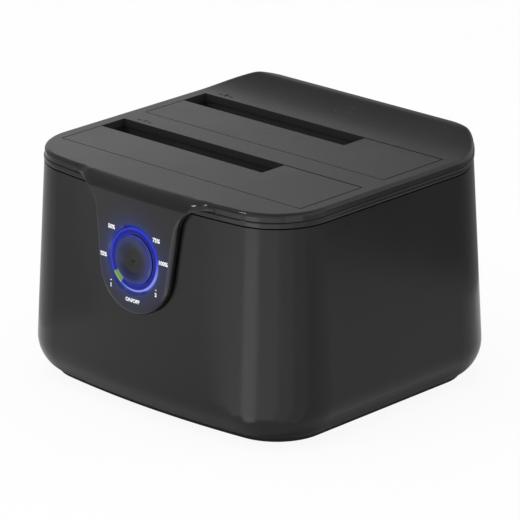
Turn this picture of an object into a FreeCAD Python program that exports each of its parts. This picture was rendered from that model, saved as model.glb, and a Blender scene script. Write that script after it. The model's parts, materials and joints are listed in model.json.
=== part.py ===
"""Twin-bay hard-drive dock: a flared housing with two spring-door drive bays,
a tongue with a lit start button on its front, and its boards and ports inside.

Frame: +X to the right along the front, +Y to the back, +Z up, millimetres.
The origin is on the surface that the dock stands on, under its middle.
"""
import FreeCAD, Part
import Sketcher
import math
import os
import re

Vector = FreeCAD.Vector
doc = FreeCAD.newDocument("DriveDock")

# ---------------------------------------------------------------- sizes
SIZES = {
    # housing: heights above the surface, and the outline at the rim
    "deck_height": 75.0, "side_margin": 5.0, "front_room": 11.58885, "rear_margin": 21.5,
    "corner_radius": 20, "bow_radius": 325, "wall_flare": 0.055, "shell_wall": 2.0,
    "base_rounding": 12, "shell_foot": 2.2,
    "rim_height": 2.6, "rim_inset": 0.2, "rim_rounding": 1.2,
    "band_height": 2.2, "band_proud": 0.1, "band_seam": 0.12, "band_rounding": 0.7,
    # scoop and ridge behind the rear bay
    "scoop_offset": 1.3, "scoop_run": 17.5, "scoop_radius": 31, "ridge_radius": 3.5,
    # tongue down the front
    "tongue_proud": 2.6, "tongue_gap": 0.4, "tongue_back": 6, "wing_radius": 8.6, "wing_end": 30,
    "tongue_rounding": 4.4, "tongue_edge": 1.4, "tongue_edge_end": 0.25, "tongue_half_top": 26.8,
    "tongue_flare": 9.5, "tongue_tip_drop": 25.8, "tongue_tip_radius": 15.2,
    # bays and their doors
    "first_bay": -35.2, "bay_width": 103, "bay_depth": 28.2, "bay_pitch": 37.5,
    "slot_width": 70.7, "slot_depth": 10.6,
    "door_plate": 1.8, "door_gap": 0.4, "door_gap_front": 0.3, "door_gap_rear": 0.6,
    "stop_reach": 0.7, "stop_height": 0.8, "stop_length": 4, "stop_gap": 0.1, "stop_room": 0.5,
    "hinge_back": 2.8, "hinge_drop": 4.6, "knuckle_radius": 1.6, "knuckle_length": 8,
    "knuckle_offset": 38, "web_reach": 4, "web_low": 1.4, "hook_start": 2.6, "hook_end": 5.2, "hook_half": 1.5,
    "hook_gap": 0.05,
    "pin_radius": 0.75, "pin_clearance": 0.05,
    "spring_radius": 1.5, "spring_wire": 0.5, "spring_turns": 4, "spring_offset": 26,
    "spring_reach": 4.6, "coil_room": 0.1,
    # drive wells
    "well_lift": 5.7, "well_wall": 1.0, "well_side_room": 1.1, "well_front_room": 0.2,
    "well_rear_room": 0.3, "well_floor": 1.5, "well_corner": 0.8,
    "hinge_bay_half": 46, "hinge_bay_reach": 4.8, "hinge_bay_height": 14,
    # drive sockets
    "socket_shift": 23, "socket_back": 4.0, "socket_width": 41.5, "socket_thickness": 6,
    "socket_rise": 4, "socket_post": 2.6, "socket_post_rise": 3, "socket_room": 0.5, "post_inset": 0.6,
    "signal_slot": 10.4, "power_slot": 20.7, "slot_spacing": 2.4, "slot_gap": 1.3, "slot_deep": 6,
    # start button, light ring and the board behind them
    "button_drop": 23.5, "bore_room": 0.2, "bore_chamfer": 0.9,
    "ring_width": 1.9, "ring_recess": 0.7, "ring_flange_reach": 1.7, "ring_flange_thickness": 1.0,
    "ring_seat": 0.35,
    "button_radius": 7.9, "button_room": 0.3, "button_proud": 0.2, "button_chamfer": 0.7,
    "button_dish": 0.7, "button_wall": 1.6, "button_flange_reach": 1.3, "button_flange_thickness": 0.8,
    "button_stop_gap": 0.1, "button_travel": 0.6, "button_stem": 2, "button_rim": 0.8,
    "stem_slope": 0.4, "stem_spare": 0.3,
    "plunger_radius": 1.6, "plunger_length": 2.4, "plunger_gap": 0.05, "plunger_clearance": 0.1,
    "switch_side": 6, "switch_height": 2.5, "switch_sink": 1.2,
    "switch_floor": 0.4,
    "front_board_width": 34, "front_board_height": 30, "front_board_thickness": 1.0,
    "led_long": 2.0, "led_wide": 1.2, "led_height": 0.8,
    "board_boss": 2.5, "board_boss_x": 13.8, "board_boss_y": 11.6,
    # base plate, feet and screws
    "base_lift": 0.5, "base_inset": 1.7, "base_lip": 2.2, "base_plug_gap": 0.3, "base_thickness": 3.2,
    "foot_radius": 6.5, "foot_sink": 0.8, "foot_x": 34, "foot_front": 3, "foot_rear": 9.3,
    "foot_chamfer": 0.5,
    "post_radius": 2.5, "front_post_x": 21.5, "front_post_back": 8.7, "rear_post_x": 46,
    "rear_post_back": 10.3, "screw_radius": 1.2, "screw_head": 2.2, "screw_head_height": 1.3,
    "screw_bite": 8, "screw_clearance": 0.05, "head_sink": 0.1,
    # main board and what stands on it
    "board_lift": 5, "board_thickness": 1.6, "board_half_width": 42, "board_front": 5.5,
    "board_rear": 82, "standoff_radius": 3, "standoff_x": 37, "standoff_front": 3, "standoff_rear": 70,
    "chip_side": 10, "chip_height": 1.2, "capacitor_radius": 1.5, "capacitor_height": 2.9,
    # ports in the rear wall
    "port_setback": 0.9, "port_room": 0.3,
    "usb_x": 4, "usb_width": 12.1, "usb_height": 10.7, "usb_length": 17, "usb_mouth_width": 9.0,
    "usb_mouth_height": 8.2, "usb_mouth_depth": 9, "usb_tongue_width": 5.6, "usb_tongue_height": 3.2,
    "usb_corner": 1.5,
    "jack_x": -26, "jack_width": 9, "jack_height": 11, "jack_length": 14, "jack_bore": 3.1,
    "jack_bore_depth": 9.5, "jack_pin": 1.0, "jack_pin_length": 8.5,
    "rocker_x": 31, "rocker_level": 32, "rocker_bezel_width": 11, "rocker_bezel_height": 16.5,
    "rocker_bezel": 1.2, "rocker_body_width": 9.4, "rocker_body_height": 14.2, "rocker_body_depth": 11,
    "rocker_length": 10.6, "rocker_width": 6.2, "rocker_side_room": 0.4, "rocker_end_room": 0.9,
    "rocker_pocket": 7.5, "rocker_proud": 1.6, "rocker_dip": 0.9, "rocker_heel": 4.2,
    "rocker_tilt": 9, "rocker_pivot": 1.6, "rocker_axle": 0.8, "axle_reach": 0.9,
    "axle_room": 0.15, "rocker_slope": 0.6, "rocker_foot": 1.6,
    # ribbon between the two boards
    "ribbon_width": 10, "ribbon_thickness": 0.4, "ribbon_gap": 0.3, "ribbon_up": 4, "ribbon_down": 12,
    "ribbon_bend": 5.4, "ribbon_inset": 1.5,
    # how far a cutter runs past a face or a root into a wall, and right through a wall
    "overrun": 1, "wall_reach": 10,
}

sheet = doc.addObject("Spreadsheet::Sheet", "Sizes")
for row, (alias, value) in enumerate(SIZES.items(), start=1):
    sheet.set(f"A{row}", alias)
    sheet.set(f"B{row}", str(value))
    sheet.setAlias(f"B{row}", alias)
doc.recompute()

WORD = re.compile(r"[a-z_]{4,}\w*")


def on_sheet(text):
    """An expression that reads the sheet, from one written in size names."""
    return WORD.sub(lambda m: "Sizes." + m.group(0) if m.group(0) in SIZES else m.group(0), str(text))


def number(text):
    """The present value of an expression in size names, for a sketch's first guess."""
    plain = WORD.sub(lambda m: f"({sheet.get(m.group(0))})" if m.group(0) in SIZES else m.group(0), str(text))
    return float(FreeCAD.Units.Quantity(plain).Value)


def bind(item, prop, text):
    item.setExpression(prop, on_sheet(text))


# ------------------------------------------------- places worked out from the sizes
RIM_HALF = "(bay_width / 2 + side_margin)"
RIM_FRONT = f"(first_bay - front_room - {RIM_HALF}^2 / (2 * bow_radius))"
RIM_REAR = "(first_bay + bay_pitch + bay_depth + rear_margin)"
CREASE = "(deck_height - rim_height - band_height)"
BAND_TOP = "(deck_height - rim_height)"
SCOOP_START = "(first_bay + bay_pitch + bay_depth + scoop_offset)"
BASE_TOP = "(base_lift + base_thickness)"
BOARD_BOTTOM = "(base_lift + base_thickness + board_lift)"
BOARD_TOP = "(base_lift + base_thickness + board_lift + board_thickness)"
WELL_BOTTOM = f"({BOARD_TOP} + well_lift)"
WELL_DEPTH = f"(deck_height - {WELL_BOTTOM})"
RING_INNER = "(button_radius + button_room)"
RING_OUTER = f"({RING_INNER} + ring_width)"
BORE_RADIUS = f"({RING_OUTER} + bore_room)"
BUTTON_LEVEL = "(deck_height - button_drop)"
FACE_FRONT = f"({RIM_FRONT} - tongue_proud - wall_flare * ({CREASE} - {BUTTON_LEVEL}))"
WALL_DEPTH = "(tongue_proud + shell_wall)"
RING_BACK = f"({WALL_DEPTH} + ring_seat + ring_flange_thickness)"
STEM_END = f"({RING_BACK} + button_stop_gap + button_flange_thickness + button_travel + stem_spare)"
PLUNGER_TOP = f"({STEM_END} + plunger_gap)"
SWITCH_TOP = f"({PLUNGER_TOP} + switch_sink)"
FRONT_BOARD_TOP = f"({SWITCH_TOP} + switch_height)"
REAR_FACE = f"({RIM_REAR} + wall_flare * ({CREASE} - {BOARD_TOP} - usb_height / 2) - port_setback)"
FAR = "150"
SCREW_WAY = "screw_radius + screw_clearance"
EDGE_INSET = ("(base_rounding - sqrt(base_rounding^2 - (base_rounding - shell_foot)^2)"
              f" - wall_flare * ({CREASE} - base_rounding))")
COSINE = "(1 / sqrt(1 + wall_flare^2))"
SINE = "(wall_flare / sqrt(1 + wall_flare^2))"
FRONT_BOARD_SPOTS = [(x, y) for x in ("-board_boss_x", "board_boss_x")
                     for y in ("-board_boss_y", "board_boss_y")]
X_AXIS = Vector(1, 0, 0)
Y_AXIS = Vector(0, 1, 0)
FACE_TURN = (X_AXIS, "90 deg - atan(wall_flare)")
REAR_TURN = (X_AXIS, "atan(wall_flare) - 90 deg")


def on_face(x, y, depth):
    """A place in the button's leaning frame: across, up the face and in from it."""
    return (x, f"{FACE_FRONT} + ({depth}) * {COSINE} + ({y}) * {SINE}",
            f"{BUTTON_LEVEL} - ({depth}) * {SINE} + ({y}) * {COSINE}")


def on_rear(y, out):
    """A place in the rocker's leaning frame: down the rear wall and out from it."""
    wall = f"({RIM_REAR} + wall_flare * ({CREASE} - rocker_level))"
    return ("rocker_x", f"{wall} + ({out}) * {COSINE} + ({y}) * {SINE}",
            f"rocker_level + ({out}) * {SINE} - ({y}) * {COSINE}")


# ------------------------------------------------------------- tools
def new_body(label, where=("0", "0", "0"), turn=None):
    """A body at an expression-bound place; turn is (axis, angle in degrees as an expression)."""
    item = doc.addObject("PartDesign::Body", label)
    item.Label = label
    place(item, where, turn)
    return item


def place(item, where, turn=None):
    if turn:
        item.Placement = FreeCAD.Placement(Vector(), FreeCAD.Rotation(turn[0], 1))
        bind(item, ".Placement.Rotation.Angle", turn[1])
    for axis, text in zip("xyz", where):
        bind(item, f".Placement.Base.{axis}", text)


def new_sketch(item, role, level="0"):
    """A sketch on one of the body's own origin planes, raised along its normal."""
    sketch = item.newObject("Sketcher::SketchObject", f"{item.Name}_sketch")
    plane = [f for f in item.Origin.OriginFeatures if f.Role == role][0]
    sketch.AttachmentSupport = [(plane, "")]
    sketch.MapMode = "FlatFace"
    bind(sketch, ".AttachmentOffset.Base.z", level)
    return sketch


def limit(sketch, kind, *where, value=None):
    """One constraint; a value is an expression in size names."""
    if value is None:
        return sketch.addConstraint(Sketcher.Constraint(kind, *where))
    index = sketch.addConstraint(Sketcher.Constraint(kind, *where, number(value)))
    bind(sketch, f"Constraints[{index}]", value)
    return index


def at_point(sketch, geometry, end, x, y):
    limit(sketch, "DistanceX", -1, 1, geometry, end, value=x)
    limit(sketch, "DistanceY", -1, 1, geometry, end, value=y)


def polygon(sketch, points):
    """Closed outline of straight edges through points given as pairs of expressions."""
    spots = [Vector(number(x), number(y), 0) for x, y in points]
    count = len(spots)
    first = sketch.GeometryCount
    for i in range(count):
        sketch.addGeometry(Part.LineSegment(spots[i], spots[(i + 1) % count]), False)
    for i in range(count):
        limit(sketch, "Coincident", first + i, 2, first + (i + 1) % count, 1)
    for i, (x, y) in enumerate(points):
        at_point(sketch, first + i, 1, x, y)
    return sketch


def circle(sketch, x, y, radius):
    centre = Vector(number(x), number(y), 0)
    index = sketch.addGeometry(Part.Circle(centre, Vector(0, 0, 1), number(radius)), False)
    at_point(sketch, index, 3, x, y)
    limit(sketch, "Radius", index, value=radius)
    return sketch


def arc(sketch, x, y, radius, start, end):
    ring = Part.Circle(Vector(x, y, 0), Vector(0, 0, 1), radius)
    return sketch.addGeometry(Part.ArcOfCircle(ring, start, end), False)


def bowed_outline(sketch, inset):
    """Housing outline set in from the rim: straight sides and rear, bowed front, round corners."""
    half = f"{RIM_HALF} - ({inset})"
    front = f"{RIM_FRONT} + ({inset})"
    rear = f"{RIM_REAR} - ({inset})"
    corner = f"corner_radius - ({inset})"
    bow = f"bow_radius - ({inset})"
    w, f, r, c, b = (number(t) for t in (half, front, rear, corner, bow))
    middle = f + b
    corner_y = middle - math.sqrt((b - c) ** 2 - (w - c) ** 2)
    lean = math.atan2(w - c, middle - corner_y)
    quarter = math.pi / 2
    arc(sketch, 0, middle, b, -quarter - lean, -quarter + lean)
    arc(sketch, w - c, corner_y, c, -quarter + lean, 0)
    sketch.addGeometry(Part.LineSegment(Vector(w, corner_y, 0), Vector(w, r - c, 0)), False)
    arc(sketch, w - c, r - c, c, 0, quarter)
    sketch.addGeometry(Part.LineSegment(Vector(w - c, r, 0), Vector(c - w, r, 0)), False)
    arc(sketch, c - w, r - c, c, quarter, 2 * quarter)
    sketch.addGeometry(Part.LineSegment(Vector(-w, r - c, 0), Vector(-w, corner_y, 0)), False)
    arc(sketch, c - w, corner_y, c, 2 * quarter, 3 * quarter - lean)
    for i in range(8):
        limit(sketch, "Tangent", i, 2, (i + 1) % 8, 1)
    limit(sketch, "Vertical", 2)
    limit(sketch, "Horizontal", 4)
    limit(sketch, "Vertical", 6)
    at_point(sketch, 0, 3, "0", f"{front} + {bow}")
    limit(sketch, "Radius", 0, value=bow)
    for i in (1, 3, 5, 7):
        limit(sketch, "Radius", i, value=corner)
    limit(sketch, "DistanceX", -1, 1, 2, 1, value=half)
    limit(sketch, "DistanceX", -1, 1, 6, 1, value=f"-({half})")
    limit(sketch, "DistanceY", -1, 1, 4, 1, value=rear)
    return sketch


def deck_profile(sketch, drop, end):
    """Side view of the space from the deck's line, lowered by drop, to the level end."""
    level = f"deck_height - ({drop})"
    z, s, e, far = number(level), number(SCOOP_START), number(end), number(FAR)
    scoop, ridge, run = number("scoop_radius"), number("ridge_radius"), number("scoop_run")
    swing = math.asin(run / (scoop + ridge))
    top = z + (scoop + ridge) * (1 - math.cos(swing))
    quarter = math.pi / 2
    sketch.addGeometry(Part.LineSegment(Vector(-far, z, 0), Vector(s, z, 0)), False)
    arc(sketch, s, z + scoop, scoop, -quarter, swing - quarter)
    arc(sketch, s + run, top - ridge, ridge, quarter, quarter + swing)
    corners = [Vector(s + run, top, 0), Vector(far, top, 0), Vector(far, e, 0), Vector(-far, e, 0),
               Vector(-far, z, 0)]
    for start, stop in zip(corners, corners[1:]):
        sketch.addGeometry(Part.LineSegment(start, stop), False)
    limit(sketch, "Tangent", 0, 2, 1, 1)
    limit(sketch, "Tangent", 1, 2, 2, 2)
    limit(sketch, "Tangent", 2, 1, 3, 1)
    for i in range(3, 7):
        limit(sketch, "Coincident", i, 2, (i + 1) % 7, 1)
    limit(sketch, "Horizontal", 3)
    limit(sketch, "Vertical", 4)
    limit(sketch, "Vertical", 6)
    at_point(sketch, 0, 1, f"-{FAR}", level)
    at_point(sketch, 0, 2, SCOOP_START, level)
    limit(sketch, "Radius", 1, value="scoop_radius")
    limit(sketch, "Radius", 2, value="ridge_radius")
    limit(sketch, "DistanceX", -1, 1, 2, 1, value=f"{SCOOP_START} + scoop_run")
    at_point(sketch, 5, 1, FAR, end)
    limit(sketch, "DistanceY", -1, 1, 6, 1, value=end)
    return sketch


def pad(item, sketch, length, both=False, back=False):
    feature = item.newObject("PartDesign::Pad", f"{item.Name}_pad")
    return finish_extrusion(feature, sketch, length, both, back)


def pocket(item, sketch, length, both=False, back=False):
    feature = item.newObject("PartDesign::Pocket", f"{item.Name}_pocket")
    return finish_extrusion(feature, sketch, length, both, back)


def finish_extrusion(feature, sketch, length, both, back):
    feature.Profile = sketch
    bind(feature, "Length", length)
    feature.SideType = "Symmetric" if both else "One side"
    feature.Reversed = back
    return feature


def turned(label, points, where, turn=None):
    """A body revolved about its own Z from (radius, height) points."""
    item = new_body(label, where, turn)
    sketch = polygon(new_sketch(item, "XZ_Plane"), points)
    feature = item.newObject("PartDesign::Revolution", f"{label}_turn")
    feature.Profile = sketch
    feature.ReferenceAxis = (sketch, ["V_Axis"])
    feature.Angle = 360
    return item


def box(label, size, corner, turn=None):
    """A block by its sizes and its low corner, about which it may be turned."""
    item = doc.addObject("Part::Box", label)
    for prop, text in zip(("Length", "Width", "Height"), size):
        bind(item, prop, text)
    place(item, corner, turn)
    return item


def cylinder(label, radius, height, where, turn=None):
    item = doc.addObject("Part::Cylinder", label)
    bind(item, "Radius", radius)
    bind(item, "Height", height)
    place(item, where, turn)
    return item


def fuse(label, items):
    item = doc.addObject("Part::MultiFuse", label)
    item.Shapes = items
    return item


def cut(label, base, tools):
    item = doc.addObject("Part::Cut", label)
    item.Base = base
    item.Tool = tools[0] if len(tools) == 1 else fuse(f"{label}_tools", tools)
    return item


def group(label, items):
    item = doc.addObject("Part::Compound", label)
    item.Links = items
    return item


def facing(face, edge):
    """Outward normal of a face at the middle of one of its edges."""
    middle = edge.valueAt((edge.FirstParameter + edge.LastParameter) / 2)
    u, v = face.Surface.parameter(middle)
    return face.normalAt(u, v)


def edges_between(shape, one, other):
    """Names of the edges between a face that passes the first test and one that passes the second."""
    names = []
    for index, edge in enumerate(shape.Edges, start=1):
        faces = shape.ancestorsOfType(edge, Part.Face)
        if len(faces) != 2:
            continue
        a, b = (facing(face, edge) for face in faces)
        if (one(a) and other(b)) or (one(b) and other(a)):
            names.append(f"Edge{index}")
    return names


def upward(normal):
    return normal.z > 0.6


def downward(normal):
    return normal.z < -0.6


def sideways(normal):
    return abs(normal.z) < 0.3


def leans_forward(normal):
    return abs(normal.z) < 0.3 and normal.y < -0.3


def faces_below(normal):
    """Square to the front, and at least a little downward."""
    return abs(normal.y) < 0.05 and normal.z < -0.05


def rounded(item, base, one, other, radius):
    """Fillet the edges between two kinds of face of a body's last feature."""
    doc.recompute()
    feature = item.newObject("PartDesign::Fillet", f"{item.Name}_fillet")
    feature.Base = (base, edges_between(base.Shape, one, other))
    bind(feature, "Radius", radius)
    return feature


def faded_fillet(label, base, names, radius_at):
    """A fillet whose radius runs along each edge between those at its two ends."""
    feature = doc.addObject("Part::Fillet", label)
    feature.Base = base
    edges = []
    for name in names:
        edge = base.Shape.getElement(name)
        ends = [radius_at(edge.firstVertex().Point), radius_at(edge.lastVertex().Point)]
        if edge.Orientation == "Forward":
            ends.reverse()
        edges.append((int(name.removeprefix("Edge")), *ends))
    feature.Edges = edges
    return feature


SUBPARTS = []


def keep(item):
    """Name a finished sub-part as a node."""
    SUBPARTS.append(item)
    return item


def rounded_rectangle(sketch, left, low, right, high, radius):
    x0, y0, x1, y1, r = (number(t) for t in (left, low, right, high, radius))
    quarter = math.pi / 2
    sketch.addGeometry(Part.LineSegment(Vector(x0 + r, y0, 0), Vector(x1 - r, y0, 0)), False)
    arc(sketch, x1 - r, y0 + r, r, -quarter, 0)
    sketch.addGeometry(Part.LineSegment(Vector(x1, y0 + r, 0), Vector(x1, y1 - r, 0)), False)
    arc(sketch, x1 - r, y1 - r, r, 0, quarter)
    sketch.addGeometry(Part.LineSegment(Vector(x1 - r, y1, 0), Vector(x0 + r, y1, 0)), False)
    arc(sketch, x0 + r, y1 - r, r, quarter, 2 * quarter)
    sketch.addGeometry(Part.LineSegment(Vector(x0, y1 - r, 0), Vector(x0, y0 + r, 0)), False)
    arc(sketch, x0 + r, y0 + r, r, 2 * quarter, 3 * quarter)
    for i in range(8):
        limit(sketch, "Tangent", i, 2, (i + 1) % 8, 1)
    for i, kind in ((0, "Horizontal"), (2, "Vertical"), (4, "Horizontal"), (6, "Vertical")):
        limit(sketch, kind, i)
    for i in (1, 3, 5, 7):
        limit(sketch, "Radius", i, value=radius)
    limit(sketch, "DistanceX", -1, 1, 6, 1, value=left)
    limit(sketch, "DistanceX", -1, 1, 2, 1, value=right)
    limit(sketch, "DistanceY", -1, 1, 0, 1, value=low)
    limit(sketch, "DistanceY", -1, 1, 4, 1, value=high)
    return sketch


def rectangle(sketch, left, low, right, high):
    return polygon(sketch, [(left, low), (right, low), (right, high), (left, high)])


# ------------------------------------------------------------- housing
def flared_form(label, inset, high="deck_height + scoop_run", low="0", rounding=None):
    """The housing's leaning walls as a solid, with its rounded foot."""
    item = new_body(label)
    top = bowed_outline(new_sketch(item, "XY_Plane", high), f"{inset} + wall_flare * ({high} - {CREASE})")
    foot = bowed_outline(new_sketch(item, "XY_Plane", low), f"{inset} + wall_flare * ({low} - {CREASE})")
    loft = item.newObject("PartDesign::AdditiveLoft", f"{label}_loft")
    loft.Profile = top
    loft.Sections = [foot]
    loft.Ruled = True
    if rounding:
        rounded(item, loft, downward, sideways, rounding)
    return item


def face_bore():
    """The hole for the light ring, through the tongue and the wall behind it."""
    deep = f"{RING_BACK} + ring_seat"
    length = f"{deep} + wall_reach / 2"
    return cylinder("button_bore", BORE_RADIUS, length, on_face("0", "0", deep), FACE_TURN)


def face_chamfer():
    cone = doc.addObject("Part::Cone", "bore_chamfer")
    bind(cone, "Radius1", BORE_RADIUS)
    bind(cone, "Radius2", f"{BORE_RADIUS} + 2 * bore_chamfer")
    bind(cone, "Height", "2 * bore_chamfer")
    place(cone, on_face("0", "0", "bore_chamfer"), FACE_TURN)
    return cone


def body_shell():
    outer = flared_form("shell_outer", "0", rounding="base_rounding")
    above = deck_profile(new_sketch(outer, "YZ_Plane"), "rim_height + band_height", "2 * deck_height")
    pocket(outer, above, FAR, both=True)
    inner = flared_form("shell_cavity", "shell_wall", low="shell_wall",
                        rounding="base_rounding - shell_wall")
    trim = box("shell_foot_trim", (f"2 * {FAR}", f"2 * {FAR}", "base_rounding"),
               (f"-{FAR}", f"-{FAR}", "shell_foot - base_rounding"))
    opening = new_body("base_opening")
    pad(opening, bowed_outline(new_sketch(opening, "XY_Plane"), f"{EDGE_INSET} + base_lip"), "base_rounding")
    walls = cut("shell_walls", outer, [inner, trim, opening])
    bosses = []
    holes = [face_bore()]
    for x, y in FRONT_BOARD_SPOTS:
        where = on_face(x, y, FRONT_BOARD_TOP)
        height = f"{FRONT_BOARD_TOP} - {WALL_DEPTH} + overrun"
        bosses.append(cylinder("board_boss", "board_boss", height, where, FACE_TURN))
        holes.append(cylinder("boss_hole", SCREW_WAY, "screw_bite / 2", where, FACE_TURN))
    solid = fuse("shell_with_bosses", [walls] + bosses)
    for x, width, height in (("usb_x", "usb_width", "usb_height"), ("jack_x", "jack_width", "jack_height")):
        size = (f"{width} + 2 * port_room", "2 * wall_reach", f"{height} + 2 * port_room")
        corner = (f"{x} - {width} / 2 - port_room", f"{REAR_FACE} - wall_reach", f"{BOARD_TOP} - port_room")
        holes.append(box("port_hole", size, corner))
    size = ("rocker_body_width + 2 * port_room", "rocker_body_height + 2 * port_room", "wall_reach")
    x, y, z = on_rear("-(rocker_body_height / 2 + port_room)", "-wall_reach / 2")
    holes.append(box("rocker_hole", size, (f"{x} - rocker_body_width / 2 - port_room", y, z), REAR_TURN))
    return cut("body_shell", solid, holes)


def trim_band():
    """Glossy band between the cover and the walls, following the scoop at the rear."""
    band = new_body("trim_band")
    ring = bowed_outline(new_sketch(band, "XY_Plane", CREASE), "-band_proud")
    pad(band, ring, "band_height + scoop_run")
    above = deck_profile(new_sketch(band, "YZ_Plane"), "rim_height + band_seam", "2 * deck_height")
    pocket(band, above, FAR, both=True)
    below = deck_profile(new_sketch(band, "YZ_Plane"), "rim_height + band_height - band_seam", "0")
    last = pocket(band, below, FAR, both=True)
    last = rounded(band, last, downward, sideways, "band_rounding")
    last = rounded(band, last, upward, sideways, "band_rounding / 2")
    inside = bowed_outline(new_sketch(band, "XY_Plane", "deck_height + scoop_run"), "shell_wall")
    pocket(band, inside, "2 * scoop_run")
    return band


def across(point):
    """The same place on the other side of the middle."""
    return Vector(-point.x, point.y, 0)


def tongue_outline(sketch):
    """Shield shape seen from the front: a strip along the rim, leaning sides and a round tip."""
    half, seam = number("tongue_half_top"), number(BAND_TOP)
    end, high = number("wing_end"), number("deck_height + rim_height")
    flare, tip = number("tongue_flare"), number("tongue_tip_radius")
    centre = number("deck_height - tongue_tip_drop")
    up = seam - flare - centre
    lean = math.atan2(up, half) - math.acos((flare + tip) / math.hypot(half, up))
    normal = Vector(math.cos(lean), math.sin(lean), 0)
    upper = Vector(half, seam - flare, 0) - normal * flare
    lower = Vector(0, centre, 0) + normal * tip
    corners = [Vector(-end, high, 0), Vector(end, high, 0), Vector(end, seam, 0), Vector(half, seam, 0)]
    for start, stop in zip(corners, corners[1:]):
        sketch.addGeometry(Part.LineSegment(start, stop), False)
    arc(sketch, half, seam - flare, flare, math.pi / 2, math.pi + lean)
    sketch.addGeometry(Part.LineSegment(upper, lower), False)
    arc(sketch, 0, centre, tip, math.pi - lean, 2 * math.pi + lean)
    sketch.addGeometry(Part.LineSegment(across(lower), across(upper)), False)
    arc(sketch, -half, seam - flare, flare, -lean, math.pi / 2)
    sketch.addGeometry(Part.LineSegment(across(corners[3]), across(corners[2])), False)
    sketch.addGeometry(Part.LineSegment(across(corners[2]), corners[0]), False)
    joints = (("Coincident", 0, 2, 1, 1), ("Coincident", 1, 2, 2, 1), ("Coincident", 2, 2, 3, 1),
              ("Tangent", 3, 2, 4, 1), ("Tangent", 4, 2, 5, 2), ("Tangent", 5, 1, 6, 1),
              ("Tangent", 6, 2, 7, 1), ("Coincident", 7, 2, 8, 1), ("Coincident", 8, 2, 9, 1),
              ("Coincident", 9, 2, 0, 1))
    for joint in joints:
        limit(sketch, *joint)
    for index in (0, 2, 8):
        limit(sketch, "Horizontal", index)
    for index in (1, 9):
        limit(sketch, "Vertical", index)
    at_point(sketch, 0, 2, "wing_end", "deck_height + rim_height")
    limit(sketch, "DistanceX", -1, 1, 0, 1, value="-wing_end")
    at_point(sketch, 5, 3, "0", "deck_height - tongue_tip_drop")
    limit(sketch, "Radius", 5, value="tongue_tip_radius")
    for index, x in ((3, "tongue_half_top"), (7, "-tongue_half_top")):
        at_point(sketch, index, 3, x, f"{BAND_TOP} - tongue_flare")
        limit(sketch, "Radius", index, value="tongue_flare")
    return sketch


def lip_outline(sketch):
    """Plan of the tongue's block: bowed front that sweeps back into the rim at each wing."""
    front = f"{RIM_FRONT} - tongue_proud + wall_flare * (deck_height - {CREASE})"
    bow = "bow_radius + tongue_proud"
    end = f"{RIM_FRONT} + wing_end^2 / (2 * bow_radius) + rim_inset"
    back = f"{RIM_FRONT} + tongue_back"
    f, b, e, k = (number(t) for t in (front, bow, end, back))
    r, x = number("wing_radius"), number("wing_end")
    inner = Vector(x, e - r, 0)
    middle = Vector(0, f + b, 0)
    reach = b - r
    gap = middle - inner
    turn = math.acos((gap.Length ** 2 + (2 * r) ** 2 - reach ** 2) / (4 * r * gap.Length))
    heading = math.atan2(gap.y, gap.x) + turn
    outer = inner + Vector(math.cos(heading), math.sin(heading), 0) * 2 * r
    lean = math.atan2(outer.x, middle.y - outer.y)
    quarter = math.pi / 2
    arc(sketch, 0, middle.y, b, -quarter - lean, -quarter + lean)
    arc(sketch, outer.x, outer.y, r, -quarter + lean, heading - math.pi)
    arc(sketch, inner.x, inner.y, r, quarter, heading)
    sketch.addGeometry(Part.LineSegment(Vector(x, e, 0), Vector(x, k, 0)), False)
    sketch.addGeometry(Part.LineSegment(Vector(x, k, 0), Vector(-x, k, 0)), False)
    sketch.addGeometry(Part.LineSegment(Vector(-x, k, 0), Vector(-x, e, 0)), False)
    arc(sketch, -inner.x, inner.y, r, math.pi - heading, quarter)
    arc(sketch, -outer.x, outer.y, r, -heading, -quarter - lean)
    for joint in (("Tangent", 0, 2, 1, 1), ("Tangent", 1, 2, 2, 2), ("Coincident", 2, 1, 3, 1),
                  ("Coincident", 3, 2, 4, 1), ("Coincident", 4, 2, 5, 1), ("Coincident", 5, 2, 6, 2),
                  ("Tangent", 6, 1, 7, 1), ("Tangent", 7, 2, 0, 1)):
        limit(sketch, *joint)
    at_point(sketch, 0, 3, "0", f"{front} + {bow}")
    limit(sketch, "Radius", 0, value=bow)
    for index, x_side in ((2, "wing_end"), (6, "-wing_end")):
        limit(sketch, "Radius", index, value="wing_radius")
        at_point(sketch, index, 3, x_side, f"{end} - wing_radius")
    for index in (1, 7):
        limit(sketch, "Radius", index, value="wing_radius")
    limit(sketch, "Vertical", 5)
    at_point(sketch, 3, 2, "wing_end", back)
    limit(sketch, "DistanceX", -1, 1, 2, 1, value="wing_end")
    limit(sketch, "DistanceX", -1, 1, 6, 2, value="-wing_end")
    limit(sketch, "Horizontal", 4)
    return sketch


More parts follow.
